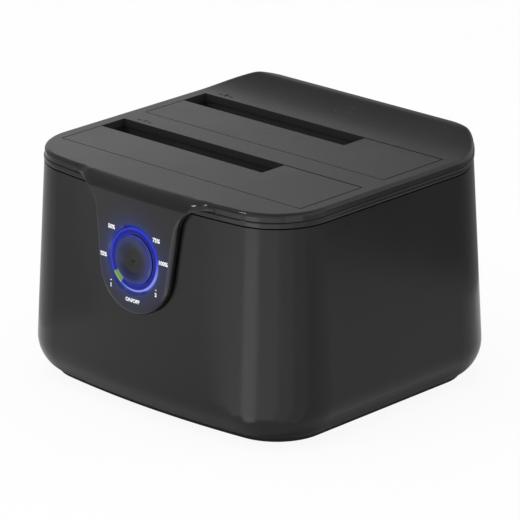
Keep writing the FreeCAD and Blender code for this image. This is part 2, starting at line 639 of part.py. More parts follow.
def tongue():
    """The lip's block cut to the shield shape, and the wall's form that clears its back."""
    reach = "(tongue_tip_drop + tongue_tip_radius + tongue_back)"
    block = new_body("tongue_block")
    face = pad(block, lip_outline(new_sketch(block, "XY_Plane", "deck_height")), reach, back=True)
    bind(face, "TaperAngle", "atan(wall_flare)")
    doc.recompute()
    front = edges_between(block.Shape, upward, leans_forward)
    bow_end = min(abs(vertex.X) for name in front for vertex in block.Shape.getElement(name).Vertexes)
    wing, rim, full = (number(t) for t in ("wing_end", "rim_rounding", "tongue_rounding"))

    def roll(point):
        along = min(1, (wing - abs(point.x)) / (wing - bow_end))
        return rim + (full - rim) * along

    rolled = faded_fillet("tongue_roll", block, front, roll)
    shield = new_body("tongue_shield")
    outline = tongue_outline(new_sketch(shield, "XZ_Plane", f"-({RIM_FRONT} + tongue_back)"))
    pad(shield, outline, "tongue_back + tongue_proud + tongue_tip_drop")
    form = doc.addObject("Part::MultiCommon", "tongue_form")
    form.Shapes = [rolled, shield]
    doc.recompute()
    seam, flare, low, edge = (number(t) for t in (BAND_TOP, "tongue_flare", "tongue_edge_end", "tongue_edge"))

    def soften(point):
        return low + (edge - low) * max(0, min(1, (seam - point.z) / flare))

    soft = faded_fillet("tongue_face", form, edges_between(form.Shape, leans_forward, faces_below), soften)
    behind = flared_form("tongue_room", "-tongue_gap", high=BAND_TOP, low=f"deck_height - {reach}")
    return soft, behind


BAYS_END = "first_bay + bay_pitch + bay_depth"
POST_SPOTS = ([(x, "first_bay - front_post_back") for x in ("-front_post_x", "front_post_x")]
              + [(x, f"{BAYS_END} + rear_post_back") for x in ("-rear_post_x", "rear_post_x")])
FOOT_SPOTS = [(x, y) for x in ("-foot_x", "foot_x")
              for y in ("first_bay - foot_front", f"{BAYS_END} + foot_rear")]
STANDOFF_SPOTS = [(x, y) for x in ("-standoff_x", "standoff_x")
                  for y in ("first_bay + standoff_front", "first_bay + standoff_rear")]
BAYS = {"front": "first_bay", "rear": "(first_bay + bay_pitch)"}


def top_cover():
    """Deck with its rim, scoop and ridge, the tongue, and four posts down to the base."""
    plate = new_body("cover_plate")
    outline = bowed_outline(new_sketch(plate, "XY_Plane", CREASE), "rim_inset")
    pad(plate, outline, "rim_height + band_height + scoop_run")
    above = deck_profile(new_sketch(plate, "YZ_Plane"), "0", "2 * deck_height")
    pocket(plate, above, FAR, both=True)
    below = deck_profile(new_sketch(plate, "YZ_Plane"), "rim_height", "0")
    last = pocket(plate, below, FAR, both=True)
    rounded(plate, last, upward, sideways, "rim_rounding")
    face, behind = tongue()
    posts = [cylinder("cover_post", "post_radius", f"deck_height - overrun - {BASE_TOP}", (x, y, BASE_TOP))
             for x, y in POST_SPOTS]
    notch = box("tongue_notch", ("2 * wing_end", "2 * tongue_back", "4 * rim_height"),
                ("-wing_end", f"{RIM_FRONT} - tongue_back", "deck_height - 2 * rim_height"))
    solid = fuse("cover_blank", [cut("notched_plate", plate, [notch]), cut("tongue", face, [behind])] + posts)
    holes = [face_bore(), face_chamfer()]
    for bay in BAYS.values():
        holes.append(box("bay_opening", ("bay_width", "bay_depth", "4 * rim_height"),
                         ("-bay_width / 2", bay, "deck_height - 2 * rim_height")))
        size = ("bay_width + 2 * (stop_reach + stop_room)", "stop_length + 2 * stop_room", "2 * rim_height")
        corner = ("-(bay_width / 2 + stop_reach + stop_room)",
                  f"{bay} + (bay_depth - slot_depth - stop_length) / 2 - stop_room",
                  "deck_height - door_plate + stop_height + stop_gap - 2 * rim_height")
        holes.append(box("stop_rebate", size, corner))
    for x, y in POST_SPOTS:
        holes.append(cylinder("post_bore", SCREW_WAY, "screw_bite + overrun",
                              (x, y, f"{BASE_TOP} - overrun")))
    return cut("top_cover", solid, holes)


def base_plate():
    plate = new_body("base_form")
    lip = bowed_outline(new_sketch(plate, "XY_Plane", "base_lift"), f"{EDGE_INSET} + base_inset")
    pad(plate, lip, "shell_foot - base_lift")
    plug_inset = f"{EDGE_INSET} + base_lip + base_plug_gap"
    plug = bowed_outline(new_sketch(plate, "XY_Plane", "shell_foot"), plug_inset)
    pad(plate, plug, f"{BASE_TOP} - shell_foot")
    standoffs = [cylinder("standoff", "standoff_radius", "board_lift + overrun",
                          (x, y, f"{BASE_TOP} - overrun")) for x, y in STANDOFF_SPOTS]
    holes = []
    for x, y in STANDOFF_SPOTS:
        holes.append(cylinder("standoff_bore", SCREW_WAY, "board_lift",
                              (x, y, f"{BASE_TOP} + overrun / 2")))
    for x, y in FOOT_SPOTS:
        holes.append(cylinder("foot_recess", "foot_radius + screw_clearance", "foot_sink + overrun",
                              (x, y, "base_lift - overrun")))
    for x, y in POST_SPOTS:
        holes.append(cylinder("screw_way", SCREW_WAY, "base_thickness + 2 * overrun",
                              (x, y, "base_lift - overrun")))
        holes.append(cylinder("screw_seat", "screw_head + screw_clearance",
                              "screw_head_height + head_sink + overrun", (x, y, "base_lift - overrun")))
    return cut("base_plate", fuse("base_blank", [plate] + standoffs), holes)


def screw(label, x, y, seat, length, upward_run=False):
    """A screw as head and shank, its head seated at one level and its shank running down or up."""
    low = seat if upward_run else f"{seat} - ({length})"
    head_low = f"{seat} - screw_head_height" if upward_run else seat
    shank = cylinder(f"{label}_shank", "screw_radius", length, (x, y, low))
    head = cylinder(f"{label}_head", "screw_head", "screw_head_height", (x, y, head_low))
    return fuse(label, [shank, head])


def base_screws():
    seat = "base_lift + screw_head_height + head_sink"
    length = "base_thickness + screw_bite - screw_head_height - overrun"
    return group("base_screws", [screw("base_screw", x, y, seat, length, upward_run=True)
                                 for x, y in POST_SPOTS])


def board_screws():
    length = "board_thickness + board_lift - overrun"
    return group("board_screws", [screw("board_screw", x, y, BOARD_TOP, length) for x, y in STANDOFF_SPOTS])


def feet():
    items = []
    for x, y in FOOT_SPOTS:
        foot = turned("foot", [("0", "0"), ("foot_radius - foot_chamfer", "0"), ("foot_radius", "foot_chamfer"),
                               ("foot_radius", "base_lift + foot_sink"), ("0", "base_lift + foot_sink")],
                      (x, y, "0"))
        items.append(foot)
    return group("rubber_feet", items)


# ------------------------------------------------------------- bays
def bay_frame(bay):
    """Middle of a bay's front edge, at deck level."""
    return ("0", bay, "deck_height")


def door(name, bay):
    """L-shaped flap with its knuckles, its spring hook and the stops under the deck's edge."""
    flap = new_body(f"{name}_door", bay_frame(bay))
    left, right = "-(bay_width / 2 - door_gap)", "bay_width / 2 - door_gap"
    near, far = "door_gap_front", "bay_depth - door_gap_rear"
    inner, slot = "bay_depth - slot_depth", "slot_width - bay_width / 2"
    outline = [(left, near), (right, near), (right, far), (slot, far), (slot, inner), (left, inner)]
    pad(flap, polygon(new_sketch(flap, "XY_Plane", "-door_plate"), outline), "door_plate")
    web = [("-hinge_back", "knuckle_radius - hinge_drop"), (near, "knuckle_radius - hinge_drop"),
           (near, "-door_plate"), (f"{near} + web_reach", "-door_plate"),
           ("-hinge_back", "-hinge_drop - web_low")]
    for x in ("-knuckle_offset", "0", "knuckle_offset"):
        pad(flap, circle(new_sketch(flap, "YZ_Plane", x), "-hinge_back", "-hinge_drop", "knuckle_radius"),
            "knuckle_length", both=True)
        pad(flap, polygon(new_sketch(flap, "YZ_Plane", x), web), "knuckle_length", both=True)
    bore = circle(new_sketch(flap, "YZ_Plane"), "-hinge_back", "-hinge_drop", "pin_radius + pin_clearance")
    pocket(flap, bore, FAR, both=True)
    hook_top = "hinge_drop - spring_radius - hook_gap"
    hook = rectangle(new_sketch(flap, "XY_Plane", f"-({hook_top})"), "spring_offset - hook_half", "hook_start",
                     "spring_offset + hook_half", "hook_end")
    pad(flap, hook, f"{hook_top} - door_plate")
    edge = "bay_width / 2 - door_gap"
    for side in ("", "-"):
        inner_x, outer_x = f"{side}({edge} - stop_length)", f"{side}(bay_width / 2 + stop_reach)"
        ear = [(inner_x, "-door_plate"), (outer_x, "-door_plate"),
               (outer_x, "stop_height - door_plate"), (inner_x, "stop_height - door_plate")]
        sketch = polygon(new_sketch(flap, "XZ_Plane", "-(bay_depth - slot_depth) / 2"), ear)
        pad(flap, sketch, "stop_length", both=True)
    return flap


def hinge_pin(name, bay):
    half = "(hinge_bay_half + well_wall)"
    where = (f"-{half}", f"{bay} - hinge_back", "deck_height - hinge_drop")
    return cylinder(f"{name}_hinge_pin", "pin_radius", f"2 * {half}", where, (Y_AXIS, "90 deg"))


def door_spring(name, bay):
    """Torsion spring round the pin: a close coil and the leg that presses the door up."""
    points = [("pin_radius + coil_room", "0")]
    for turn_index in range(SIZES["spring_turns"]):
        points.append(("spring_radius - spring_wire / 3", f"{turn_index} * spring_wire"))
        points.append(("spring_radius", f"({turn_index} + 1 / 2) * spring_wire"))
    points.append(("spring_radius - spring_wire / 3", "spring_turns * spring_wire"))
    points.append(("pin_radius + coil_room", "spring_turns * spring_wire"))
    where = ("spring_offset - spring_turns * spring_wire / 2", f"{bay} - hinge_back",
             "deck_height - hinge_drop")
    coil = turned(f"{name}_coil", points, where, (Y_AXIS, "90 deg"))
    leg_level = "deck_height - hinge_drop + spring_radius - spring_wire / 2"
    leg = cylinder(f"{name}_spring_leg", "spring_wire / 2", "hinge_back + spring_reach",
                   ("spring_offset", f"{bay} - hinge_back", leg_level), (X_AXIS, "-90 deg"))
    return fuse(f"{name}_door_spring", [coil, leg])


def drive_well(name, bay):
    """Moulded tub that guides a drive down to its socket, with a hinge pocket at its front."""
    tub = new_body(f"{name}_drive_well", bay_frame(bay))
    half = "(bay_width / 2 + well_side_room)"
    front, back = "-well_front_room", "bay_depth + well_rear_room"
    low = f"-({WELL_DEPTH} + well_floor)"
    outside = rounded_rectangle(new_sketch(tub, "XY_Plane", low), f"-({half} + well_wall)",
                                f"{front} - well_wall", f"{half} + well_wall", f"{back} + well_wall",
                                "well_corner + well_wall")
    pad(tub, outside, f"{WELL_DEPTH} + well_floor - rim_height")
    lump = rectangle(new_sketch(tub, "XY_Plane", "-hinge_bay_height"), "-(hinge_bay_half + well_wall)",
                     "-(hinge_bay_reach + well_wall)", "hinge_bay_half + well_wall", "well_corner")
    pad(tub, lump, "hinge_bay_height - rim_height")
    inside = rounded_rectangle(new_sketch(tub, "XY_Plane", "-rim_height"), f"-{half}", front, half, back,
                               "well_corner")
    pocket(tub, inside, f"{WELL_DEPTH} - rim_height")
    hollow = rectangle(new_sketch(tub, "XY_Plane", "-rim_height"), "-hinge_bay_half", "-hinge_bay_reach",
                       "hinge_bay_half", "well_corner")
    pocket(tub, hollow, "hinge_bay_height - rim_height - well_wall")
    bore = circle(new_sketch(tub, "YZ_Plane"), "-hinge_back", "-hinge_drop", "pin_radius + pin_clearance / 2")
    pocket(tub, bore, FAR, both=True)
    window = rectangle(new_sketch(tub, "XY_Plane", f"overrun - {WELL_DEPTH}"),
                       "-socket_shift - socket_width / 2 - socket_room",
                       "bay_depth - socket_back - socket_thickness / 2 - socket_room",
                       "-socket_shift + socket_width / 2 + socket_room",
                       "bay_depth - socket_back + socket_thickness / 2 + socket_room")
    pocket(tub, window, "well_floor + 2 * overrun")
    return tub


def drive_socket(name, bay):
    """Upright 22-way receptacle with its two keyed slots and a guide post at each end."""
    block = new_body(f"{name}_drive_socket", ("-socket_shift", f"{bay} + bay_depth - socket_back", BOARD_TOP))
    rise = f"{WELL_BOTTOM} + socket_rise - {BOARD_TOP}"
    half, deep = "socket_width / 2", "socket_thickness / 2"
    pad(block, rectangle(new_sketch(block, "XY_Plane"), f"-{half}", f"-{deep}", half, deep), rise)
    for low, high in ((f"-{half}", f"-{half} + socket_post"), (f"{half} - socket_post", half)):
        post = rectangle(new_sketch(block, "XY_Plane", rise), low, f"-{deep} + post_inset", high,
                         f"{deep} - post_inset")
        pad(block, post, "socket_post_rise")
    start = "-(power_slot + slot_spacing + signal_slot) / 2"
    for left, length in ((start, "power_slot"), (f"{start} + power_slot + slot_spacing", "signal_slot")):
        right = f"{left} + {length}"
        key = [(left, "-slot_gap"), (right, "-slot_gap"), (right, "slot_gap"),
               (f"{right} - slot_gap", "slot_gap"), (f"{right} - slot_gap", "0"), (left, "0")]
        pocket(block, polygon(new_sketch(block, "XY_Plane", rise), key), "slot_deep")
    return block


# ------------------------------------------------------------- start button
def light_ring():
    back = f"-({WALL_DEPTH} + ring_seat)"
    flange = f"{RING_OUTER} + ring_flange_reach"
    points = [(RING_INNER, "-ring_recess"), (RING_OUTER, "-ring_recess"), (RING_OUTER, back), (flange, back),
              (flange, f"-{RING_BACK}"), (RING_INNER, f"-{RING_BACK}")]
    return turned("light_ring", points, on_face("0", "0", "0"), FACE_TURN)


def start_button():
    """Dished cap that slides in the ring, with the flange that keeps it in and its stem."""
    flange = f"-({RING_BACK} + button_stop_gap)"
    back = f"-({RING_BACK} + button_stop_gap + button_flange_thickness)"
    inner = "button_radius - button_wall"
    return turned("start_button", [
        ("0", "button_proud - button_dish"), ("button_radius / 2", "button_proud - button_dish * 3 / 4"),
        ("button_radius - button_chamfer - button_rim", "button_proud"),
        ("button_radius - button_chamfer", "button_proud"),
        ("button_radius", "button_proud - button_chamfer"), ("button_radius", flange),
        ("button_radius + button_flange_reach", flange), ("button_radius + button_flange_reach", back),
        (inner, back),
        (inner, "-button_wall"), ("button_stem", "-button_wall - stem_slope"), ("button_stem", f"-{STEM_END}"),
        ("0", f"-{STEM_END}")], on_face("0", "0", "0"), FACE_TURN)


def switch_plunger():
    return cylinder("switch_plunger", "plunger_radius", "plunger_length",
                    on_face("0", "0", f"{PLUNGER_TOP} + plunger_length"), FACE_TURN)


def push_switch():
    side = "switch_side"
    case = box("switch_case", (side, side, "switch_height"),
               on_face(f"-{side} / 2", f"-{side} / 2", FRONT_BOARD_TOP), FACE_TURN)
    well = cylinder("switch_bore", "plunger_radius + plunger_clearance", "switch_height",
                    on_face("0", "0", f"{FRONT_BOARD_TOP} - switch_floor"), FACE_TURN)
    return cut("push_switch", case, [well])


def front_board():
    width, height = "front_board_width", "front_board_height"
    corner = on_face(f"-{width} / 2", f"-{height} / 2", f"{FRONT_BOARD_TOP} + front_board_thickness")
    board = box("front_board_blank", (width, height, "front_board_thickness"), corner, FACE_TURN)
    holes = [cylinder("board_hole", SCREW_WAY, "3 * front_board_thickness",
                      on_face(x, y, f"{FRONT_BOARD_TOP} + 2 * front_board_thickness"), FACE_TURN)
             for x, y in FRONT_BOARD_SPOTS]
    return cut("front_board", board, holes)


def front_board_screws():
    items = []
    back = f"({FRONT_BOARD_TOP} + front_board_thickness)"
    for x, y in FRONT_BOARD_SPOTS:
        length = "front_board_thickness + (screw_bite - overrun) / 2"
        shank = cylinder("front_screw_shank", "screw_radius", length, on_face(x, y, back), FACE_TURN)
        head = cylinder("front_screw_head", "screw_head", "screw_head_height / 2",
                        on_face(x, y, f"{back} + screw_head_height / 2"), FACE_TURN)
        items.append(fuse("front_screw", [shank, head]))
    return group("front_board_screws", items)


def ring_leds():
    """Eight lamps on the front board, each behind its part of the ring."""
    orbit = f"({RING_INNER} + ring_width / 2)"
    items = []
    for index in range(8):
        angle = math.radians(45 * index)
        x = f"{orbit} * {math.cos(angle):.6f} - led_long / 2"
        y = f"{orbit} * {math.sin(angle):.6f} - led_wide / 2"
        items.append(box("ring_led", ("led_long", "led_wide", "led_height"),
                         on_face(x, y, FRONT_BOARD_TOP), FACE_TURN))
    return group("ring_leds", items)


# ------------------------------------------------------------- main board and ports
def main_board():
    front, rear = "(first_bay - board_front)", "(first_bay + board_rear)"
    board = box("main_board_blank", ("2 * board_half_width", f"{rear} - {front}", "board_thickness"),
                ("-board_half_width", front, BOARD_BOTTOM))
    holes = [cylinder("main_board_hole", SCREW_WAY, "3 * board_thickness",
                      (x, y, f"{BOARD_BOTTOM} - board_thickness")) for x, y in STANDOFF_SPOTS]
    return cut("main_board", board, holes)


CHIPS = [("12", "5", "chip_side", "chip_side"), ("12", "45", "chip_side", "chip_side"),
         ("28", "10", "chip_side / 2", "chip_side * 0.6"), ("26", "48", "chip_side * 0.6", "chip_side * 0.6")]
CAPACITORS = [("30", "24"), ("35", "24"), ("30", "30"), ("-35", "46"), ("-30", "46")]


def board_chips():
    """Bridge chip, duplicator controller, flash and regulator."""
    return group("board_chips", [box("chip", (wide, deep, "chip_height"), (x, f"first_bay + {y}", BOARD_TOP))
                                 for x, y, wide, deep in CHIPS])


def board_capacitors():
    return group("board_capacitors", [cylinder("capacitor", "capacitor_radius", "capacitor_height",
                                               (x, f"first_bay + {y}", BOARD_TOP)) for x, y in CAPACITORS])


def usb_port():
    """Square-ended device port with its contact tongue standing in the mouth."""
    shell = box("usb_block", ("usb_width", "usb_length", "usb_height"),
                ("usb_x - usb_width / 2", f"{REAR_FACE} - usb_length", BOARD_TOP))
    mouth = new_body("usb_mouth", ("usb_x", REAR_FACE, f"{BOARD_TOP} + usb_height / 2"))
    half, high = "usb_mouth_width / 2", "usb_mouth_height / 2"
    outline = [(f"-{half}", f"-{high}"), (half, f"-{high}"), (half, f"{high} - usb_corner"),
               (f"{half} - usb_corner", high), (f"usb_corner - {half}", high),
               (f"-{half}", f"{high} - usb_corner")]
    pad(mouth, polygon(new_sketch(mouth, "XZ_Plane"), outline), "2 * usb_mouth_depth", both=True)
    contact = box("usb_tongue", ("usb_tongue_width", "usb_mouth_depth - overrun", "usb_tongue_height"),
                  ("usb_x - usb_tongue_width / 2", f"{REAR_FACE} - usb_mouth_depth - overrun / 2",
                   f"{BOARD_TOP} + (usb_height - usb_tongue_height) / 2"))
    return fuse("usb_port", [cut("usb_shell", shell, [mouth]), contact])


def power_jack():
    """Round supply inlet with its centre pin."""
    middle = f"{BOARD_TOP} + jack_height / 2"
    block = box("jack_block", ("jack_width", "jack_length", "jack_height"),
                ("jack_x - jack_width / 2", f"{REAR_FACE} - jack_length", BOARD_TOP))
    bore = cylinder("jack_bore_form", "jack_bore", "jack_bore_depth + overrun",
                    ("jack_x", f"{REAR_FACE} - jack_bore_depth", middle), (X_AXIS, "-90 deg"))
    pin = cylinder("jack_pin_form", "jack_pin", "jack_pin_length + overrun / 2",
                   ("jack_x", f"{REAR_FACE} - jack_bore_depth - overrun / 2", middle), (X_AXIS, "-90 deg"))
    return fuse("power_jack", [cut("jack_shell", block, [bore]), pin])


def switch_housing():
    """Snap-in housing of the power switch, its bezel flat on the leaning wall."""
    width, height = "rocker_bezel_width", "rocker_bezel_height"
    x, y, z = on_rear(f"-{height} / 2", "0")
    bezel = box("switch_bezel", (width, height, "rocker_bezel"), (f"{x} - {width} / 2", y, z), REAR_TURN)
    width, height = "rocker_body_width", "rocker_body_height"
    x, y, z = on_rear(f"-{height} / 2", "-rocker_body_depth")
    depth = "rocker_body_depth + rocker_bezel / 4"
    barrel = box("switch_barrel", (width, height, depth), (f"{x} - {width} / 2", y, z), REAR_TURN)
    width = "(rocker_width + 2 * rocker_side_room)"
    height = "(rocker_length + 2 * rocker_end_room)"
    x, y, z = on_rear(f"-{height} / 2", "-rocker_pocket")
    depth = "rocker_pocket + wall_reach / 2"
    hollow = box("switch_hollow", (width, height, depth), (f"{x} - {width} / 2", y, z), REAR_TURN)
    x, y, z = on_rear("0", "-rocker_pivot")
    reach = "(rocker_width / 2 + axle_reach + axle_room)"
    axle = cylinder("axle_bore", "rocker_axle + pin_clearance", f"2 * {reach}", (f"{x} - {reach}", y, z),
                    (Y_AXIS, "90 deg"))
    return cut("switch_housing", fuse("switch_blank", [bezel, barrel]), [hollow, axle])


def power_rocker():
    """Dipped rocker on its axle, at rest with one end pressed in."""
    x, y, z = on_rear("0", "-rocker_pivot")
    rocker = new_body("power_rocker", (x, y, z), (X_AXIS, "atan(wall_flare) - 90 deg - rocker_tilt * 1 deg"))
    half, top = "rocker_length / 2", "(rocker_pivot + rocker_proud)"
    outline = [(f"-{half}", top), ("0", f"{top} - rocker_dip"), (half, top),
               (f"{half} - rocker_slope", "-rocker_axle"), ("rocker_foot", "-rocker_heel"),
               ("-rocker_foot", "-rocker_heel"), (f"rocker_slope - {half}", "-rocker_axle")]
    pad(rocker, polygon(new_sketch(rocker, "YZ_Plane"), outline), "rocker_width", both=True)
    pad(rocker, circle(new_sketch(rocker, "YZ_Plane"), "0", "0", "rocker_axle"),
        "rocker_width + 2 * axle_reach", both=True)
    return rocker


def ribbon_cable():
    """Flat cable soldered to the back of the front board and to the front of the main board."""
    upper_y = f"({FACE_FRONT} + {FRONT_BOARD_TOP} + front_board_thickness + ribbon_gap)"
    upper_z = f"({BUTTON_LEVEL} - front_board_height / 2)"
    lower_y = "(first_bay - board_front + ribbon_inset)"
    path = [(upper_y, f"{upper_z} + ribbon_up"), (upper_y, f"{upper_z} - ribbon_down"),
            (lower_y, f"{BOARD_TOP} + ribbon_bend"), (lower_y, f"{BOARD_TOP} + ribbon_gap")]
    back = [(f"{y} + ribbon_thickness", z) for y, z in reversed(path)]
    strip = new_body("ribbon_cable")
    pad(strip, polygon(new_sketch(strip, "YZ_Plane"), path + back), "ribbon_width", both=True)
    return strip


# ------------------------------------------------------------- build
for build in (body_shell, top_cover, trim_band, base_plate, base_screws, board_screws, feet, light_ring,
              start_button, switch_plunger, push_switch, front_board, front_board_screws, ring_leds, main_board,
              board_chips, board_capacitors, usb_port, power_jack, switch_housing, power_rocker, ribbon_cable):
    keep(build())
for name, bay in BAYS.items():
    for build in (door, hinge_pin, door_spring, drive_well, drive_socket):
        keep(build(name, bay))

doc.recompute()
failed = [item.Name for item in doc.Objects if {"Invalid", "Error"} & set(item.State)]
if failed:
    raise RuntimeError(f"these objects failed: {failed}")
for item in SUBPARTS:
    if item.Shape.isNull() or not item.Shape.isValid():
        raise RuntimeError(f"{item.Label} has no valid shape")

os.makedirs("parts", exist_ok=True)
for item in SUBPARTS:
    item.Shape.exportStep(f"parts/{item.Label}.step")
    print(item.Label, len(item.Shape.Solids), round(item.Shape.Volume, 1))
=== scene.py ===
"""Looks of the twin-bay drive dock: its finishes, printed marks, studio and camera.

Metres: +X right along the front, +Y towards the ports, +Z up.
"""
import json
import math

import bpy
from mathutils import Matrix, Vector


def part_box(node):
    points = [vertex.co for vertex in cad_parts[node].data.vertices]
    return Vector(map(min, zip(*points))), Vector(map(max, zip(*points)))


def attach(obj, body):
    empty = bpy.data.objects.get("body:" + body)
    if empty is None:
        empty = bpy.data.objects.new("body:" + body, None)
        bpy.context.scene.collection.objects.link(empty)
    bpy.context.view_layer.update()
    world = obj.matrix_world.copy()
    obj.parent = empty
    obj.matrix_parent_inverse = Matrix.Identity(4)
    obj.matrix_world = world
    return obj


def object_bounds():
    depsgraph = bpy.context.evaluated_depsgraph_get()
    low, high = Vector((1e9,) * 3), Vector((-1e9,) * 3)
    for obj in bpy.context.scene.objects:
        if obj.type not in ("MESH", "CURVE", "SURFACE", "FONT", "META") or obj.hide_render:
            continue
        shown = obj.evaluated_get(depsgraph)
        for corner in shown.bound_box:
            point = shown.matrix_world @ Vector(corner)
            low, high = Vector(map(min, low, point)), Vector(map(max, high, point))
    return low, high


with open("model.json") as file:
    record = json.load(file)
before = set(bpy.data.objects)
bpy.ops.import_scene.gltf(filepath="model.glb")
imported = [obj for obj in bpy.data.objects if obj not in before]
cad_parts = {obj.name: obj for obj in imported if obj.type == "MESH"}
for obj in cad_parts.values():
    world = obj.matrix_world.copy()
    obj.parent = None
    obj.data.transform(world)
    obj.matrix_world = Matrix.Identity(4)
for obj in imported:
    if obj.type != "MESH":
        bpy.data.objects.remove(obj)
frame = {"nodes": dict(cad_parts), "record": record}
cad_low, cad_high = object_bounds()
NODES = frame["nodes"]
MM = 0.001
X = Vector((1, 0, 0))
Y = Vector((0, 1, 0))
Z = Vector((0, 0, 1))


# ---------------------------------------------------------------- places read from the frame
def joint(name):
    return next(j for j in frame["record"]["behaviour"]["joints"] if j["name"] == name)


PRESS = Vector(joint("start_press")["axis"]).normalized()
FACE_UP = X.cross(PRESS)
RING_RECESS = 0.7 * MM


def button_face():
    """Where the button's axis meets the tongue's face."""
    spots = [v.co for v in NODES["light_ring"].data.vertices]
    front = min(spot.dot(PRESS) for spot in spots)
    lip = [spot for spot in spots if spot.dot(PRESS) < front + 0.01 * MM]
    height = (max(spot.z for spot in lip) + min(spot.z for spot in lip)) / 2
    depth = (max(spot.y for spot in lip) + min(spot.y for spot in lip)) / 2
    return Vector((0, depth, height)) - PRESS * RING_RECESS


FACE = button_face()
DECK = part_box("front_door")[1][2]
BAYS = {name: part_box(f"{name}_drive_well") for name in ("front", "rear")}


# ---------------------------------------------------------------- shader tools
MIX_FIRST, MIX_SECOND, MIX_RESULT = 6, 7, 2  # the colour sockets of a Mix node


class Graph:
    """A node tree with short calls: add makes a node, and values may be numbers or other sockets."""

    def __init__(self, tree):
        self.tree = tree

    def add(self, kind, settings=(), **inputs):
        node = self.tree.nodes.new(kind)
        for name, value in dict(settings).items():
            setattr(node, name, value)
        for name, value in inputs.items():
            self.feed(node.inputs[name.replace("_", " ")], value)
        return node

    def feed(self, socket, value):
        if isinstance(value, bpy.types.NodeSocket):
            self.tree.links.new(value, socket)
        else:
            socket.default_value = value

    def math(self, operation, *values, clamp=False):
        node = self.tree.nodes.new("ShaderNodeMath")
        node.operation = operation
        node.use_clamp = clamp
        for socket, value in zip(node.inputs, values):
            self.feed(socket, value)
        return node.outputs[0]

    def vector(self, operation, first, second, output=0):
        node = self.tree.nodes.new("ShaderNodeVectorMath")
        node.operation = operation
        self.feed(node.inputs[0], first)
        self.feed(node.inputs[1], second)
        return node.outputs[output]

    def span(self, value, low, high, to_low=0.0, to_high=1.0):
        """A value carried from one range to another, held at the ends."""
        node = self.add("ShaderNodeMapRange", {"interpolation_type": "SMOOTHSTEP"}, Value=value)
        ends = {"From Min": low, "From Max": high, "To Min": to_low, "To Max": to_high}
        for name, number in ends.items():
            self.feed(node.inputs[name], number)
        return node.outputs["Result"]

    def mix(self, share, first, second):
        node = self.add("ShaderNodeMix", {"data_type": "RGBA"})
        self.feed(node.inputs["Factor"], share)
        self.feed(node.inputs[MIX_FIRST], first)
        self.feed(node.inputs[MIX_SECOND], second)
        return node.outputs[MIX_RESULT]

    def noise(self, place, scale, detail=2.0, roughness=0.5):
        node = self.add("ShaderNodeTexNoise", Vector=place, Scale=scale, Detail=detail,
                        Roughness=roughness)
        return node.outputs["Fac"]

    def place(self):
        """Where a point lies on its piece, in metres."""
        return self.add("ShaderNodeTexCoord").outputs["Object"]

    def share_along(self, direction, way):
        """How far a direction points along a fixed way, from minus one to one."""
        return self.vector("DOT_PRODUCT", direction, tuple(way), "Value")

    def group(self, tree, **inputs):
        node = self.tree.nodes.new("ShaderNodeGroup")
        node.node_tree = tree
        for name, value in inputs.items():
            self.feed(node.inputs[name.replace("_", " ")], value)
        return node.outputs


def fed(socket):
    """What already feeds a socket."""
    return socket.links[0].from_socket


def rgba(color, share=1.0):
    """A full colour from three channels, brighter or darker by a share."""
    return tuple(min(1.0, channel * share) for channel in color) + (1.0,)


def new_group(name, inputs, outputs):
    """An empty shader group with named number inputs: its graph, what it is given and its outputs."""
    tree = bpy.data.node_groups.new(name, "ShaderNodeTree")
    for label, value in inputs.items():
        socket = tree.interface.new_socket(label, in_out="INPUT", socket_type="NodeSocketFloat")
        socket.default_value = value
    for label in outputs:
        tree.interface.new_socket(label, in_out="OUTPUT", socket_type="NodeSocketFloat")
    start = tree.nodes.new("NodeGroupInput")
    end = tree.nodes.new("NodeGroupOutput")
    return Graph(tree), start.outputs, end.inputs


def moulded_grain_group():
    """Spark-eroded mould texture: a fine pebble with slow patches."""
    graph, given, out = new_group("moulded_grain", {"Scale": 4000.0, "Patch Scale": 60.0},
                                  ("Height", "Patches"))
    place = graph.place()
    pebble = graph.noise(place, given["Scale"], 3.0, 0.6)
    cells = graph.add("ShaderNodeTexVoronoi", Vector=place, Scale=given["Scale"])
    graph.feed(out["Height"], graph.math("MULTIPLY_ADD", cells.outputs["Distance"], 0.5, pebble))
    graph.feed(out["Patches"], graph.noise(place, given["Patch Scale"], 3.0, 0.55))
    return graph.tree


def hairlines_group():
    """Faint wiping marks: thin stretched streaks in two directions."""
    graph, given, out = new_group("hairlines", {"Scale": 900.0, "Amount": 0.5}, ("Mask",))
    place = graph.place()
    layers = []
    for turn, stretch in ((0.5, 14.0), (-0.9, 22.0)):
        turned = graph.add("ShaderNodeMapping", Vector=place, Rotation=(turn, turn * 0.7, turn),
                           Scale=(1.0, stretch, stretch))
        lines = graph.noise(turned.outputs[0], given["Scale"], 1.0)
        layers.append(graph.span(lines, 0.66, 0.74))
    both = graph.math("MAXIMUM", layers[0], layers[1])
    graph.feed(out["Mask"], graph.math("MULTIPLY", both, given["Amount"]))
    return graph.tree


def settled_dust_group():
    """Fine dust on what faces up, in loose patches."""
    graph, given, out = new_group("settled_dust", {"Amount": 0.2, "Scale": 700.0}, ("Mask",))
    place = graph.place()
    normal = graph.add("ShaderNodeNewGeometry").outputs["Normal"]
    up = graph.add("ShaderNodeSeparateXYZ", Vector=normal).outputs["Z"]
    facing = graph.span(up, 0.5, 1.0)
    specks = graph.span(graph.noise(place, given["Scale"], 4.0, 0.7), 0.56, 0.72)
    clouds = graph.span(graph.noise(place, 40.0, 2.0), 0.35, 0.7)
    graph.feed(out["Mask"], graph.math("MULTIPLY", graph.math("MULTIPLY", facing, specks),
                                       graph.math("MULTIPLY", clouds, given["Amount"])))
    return graph.tree


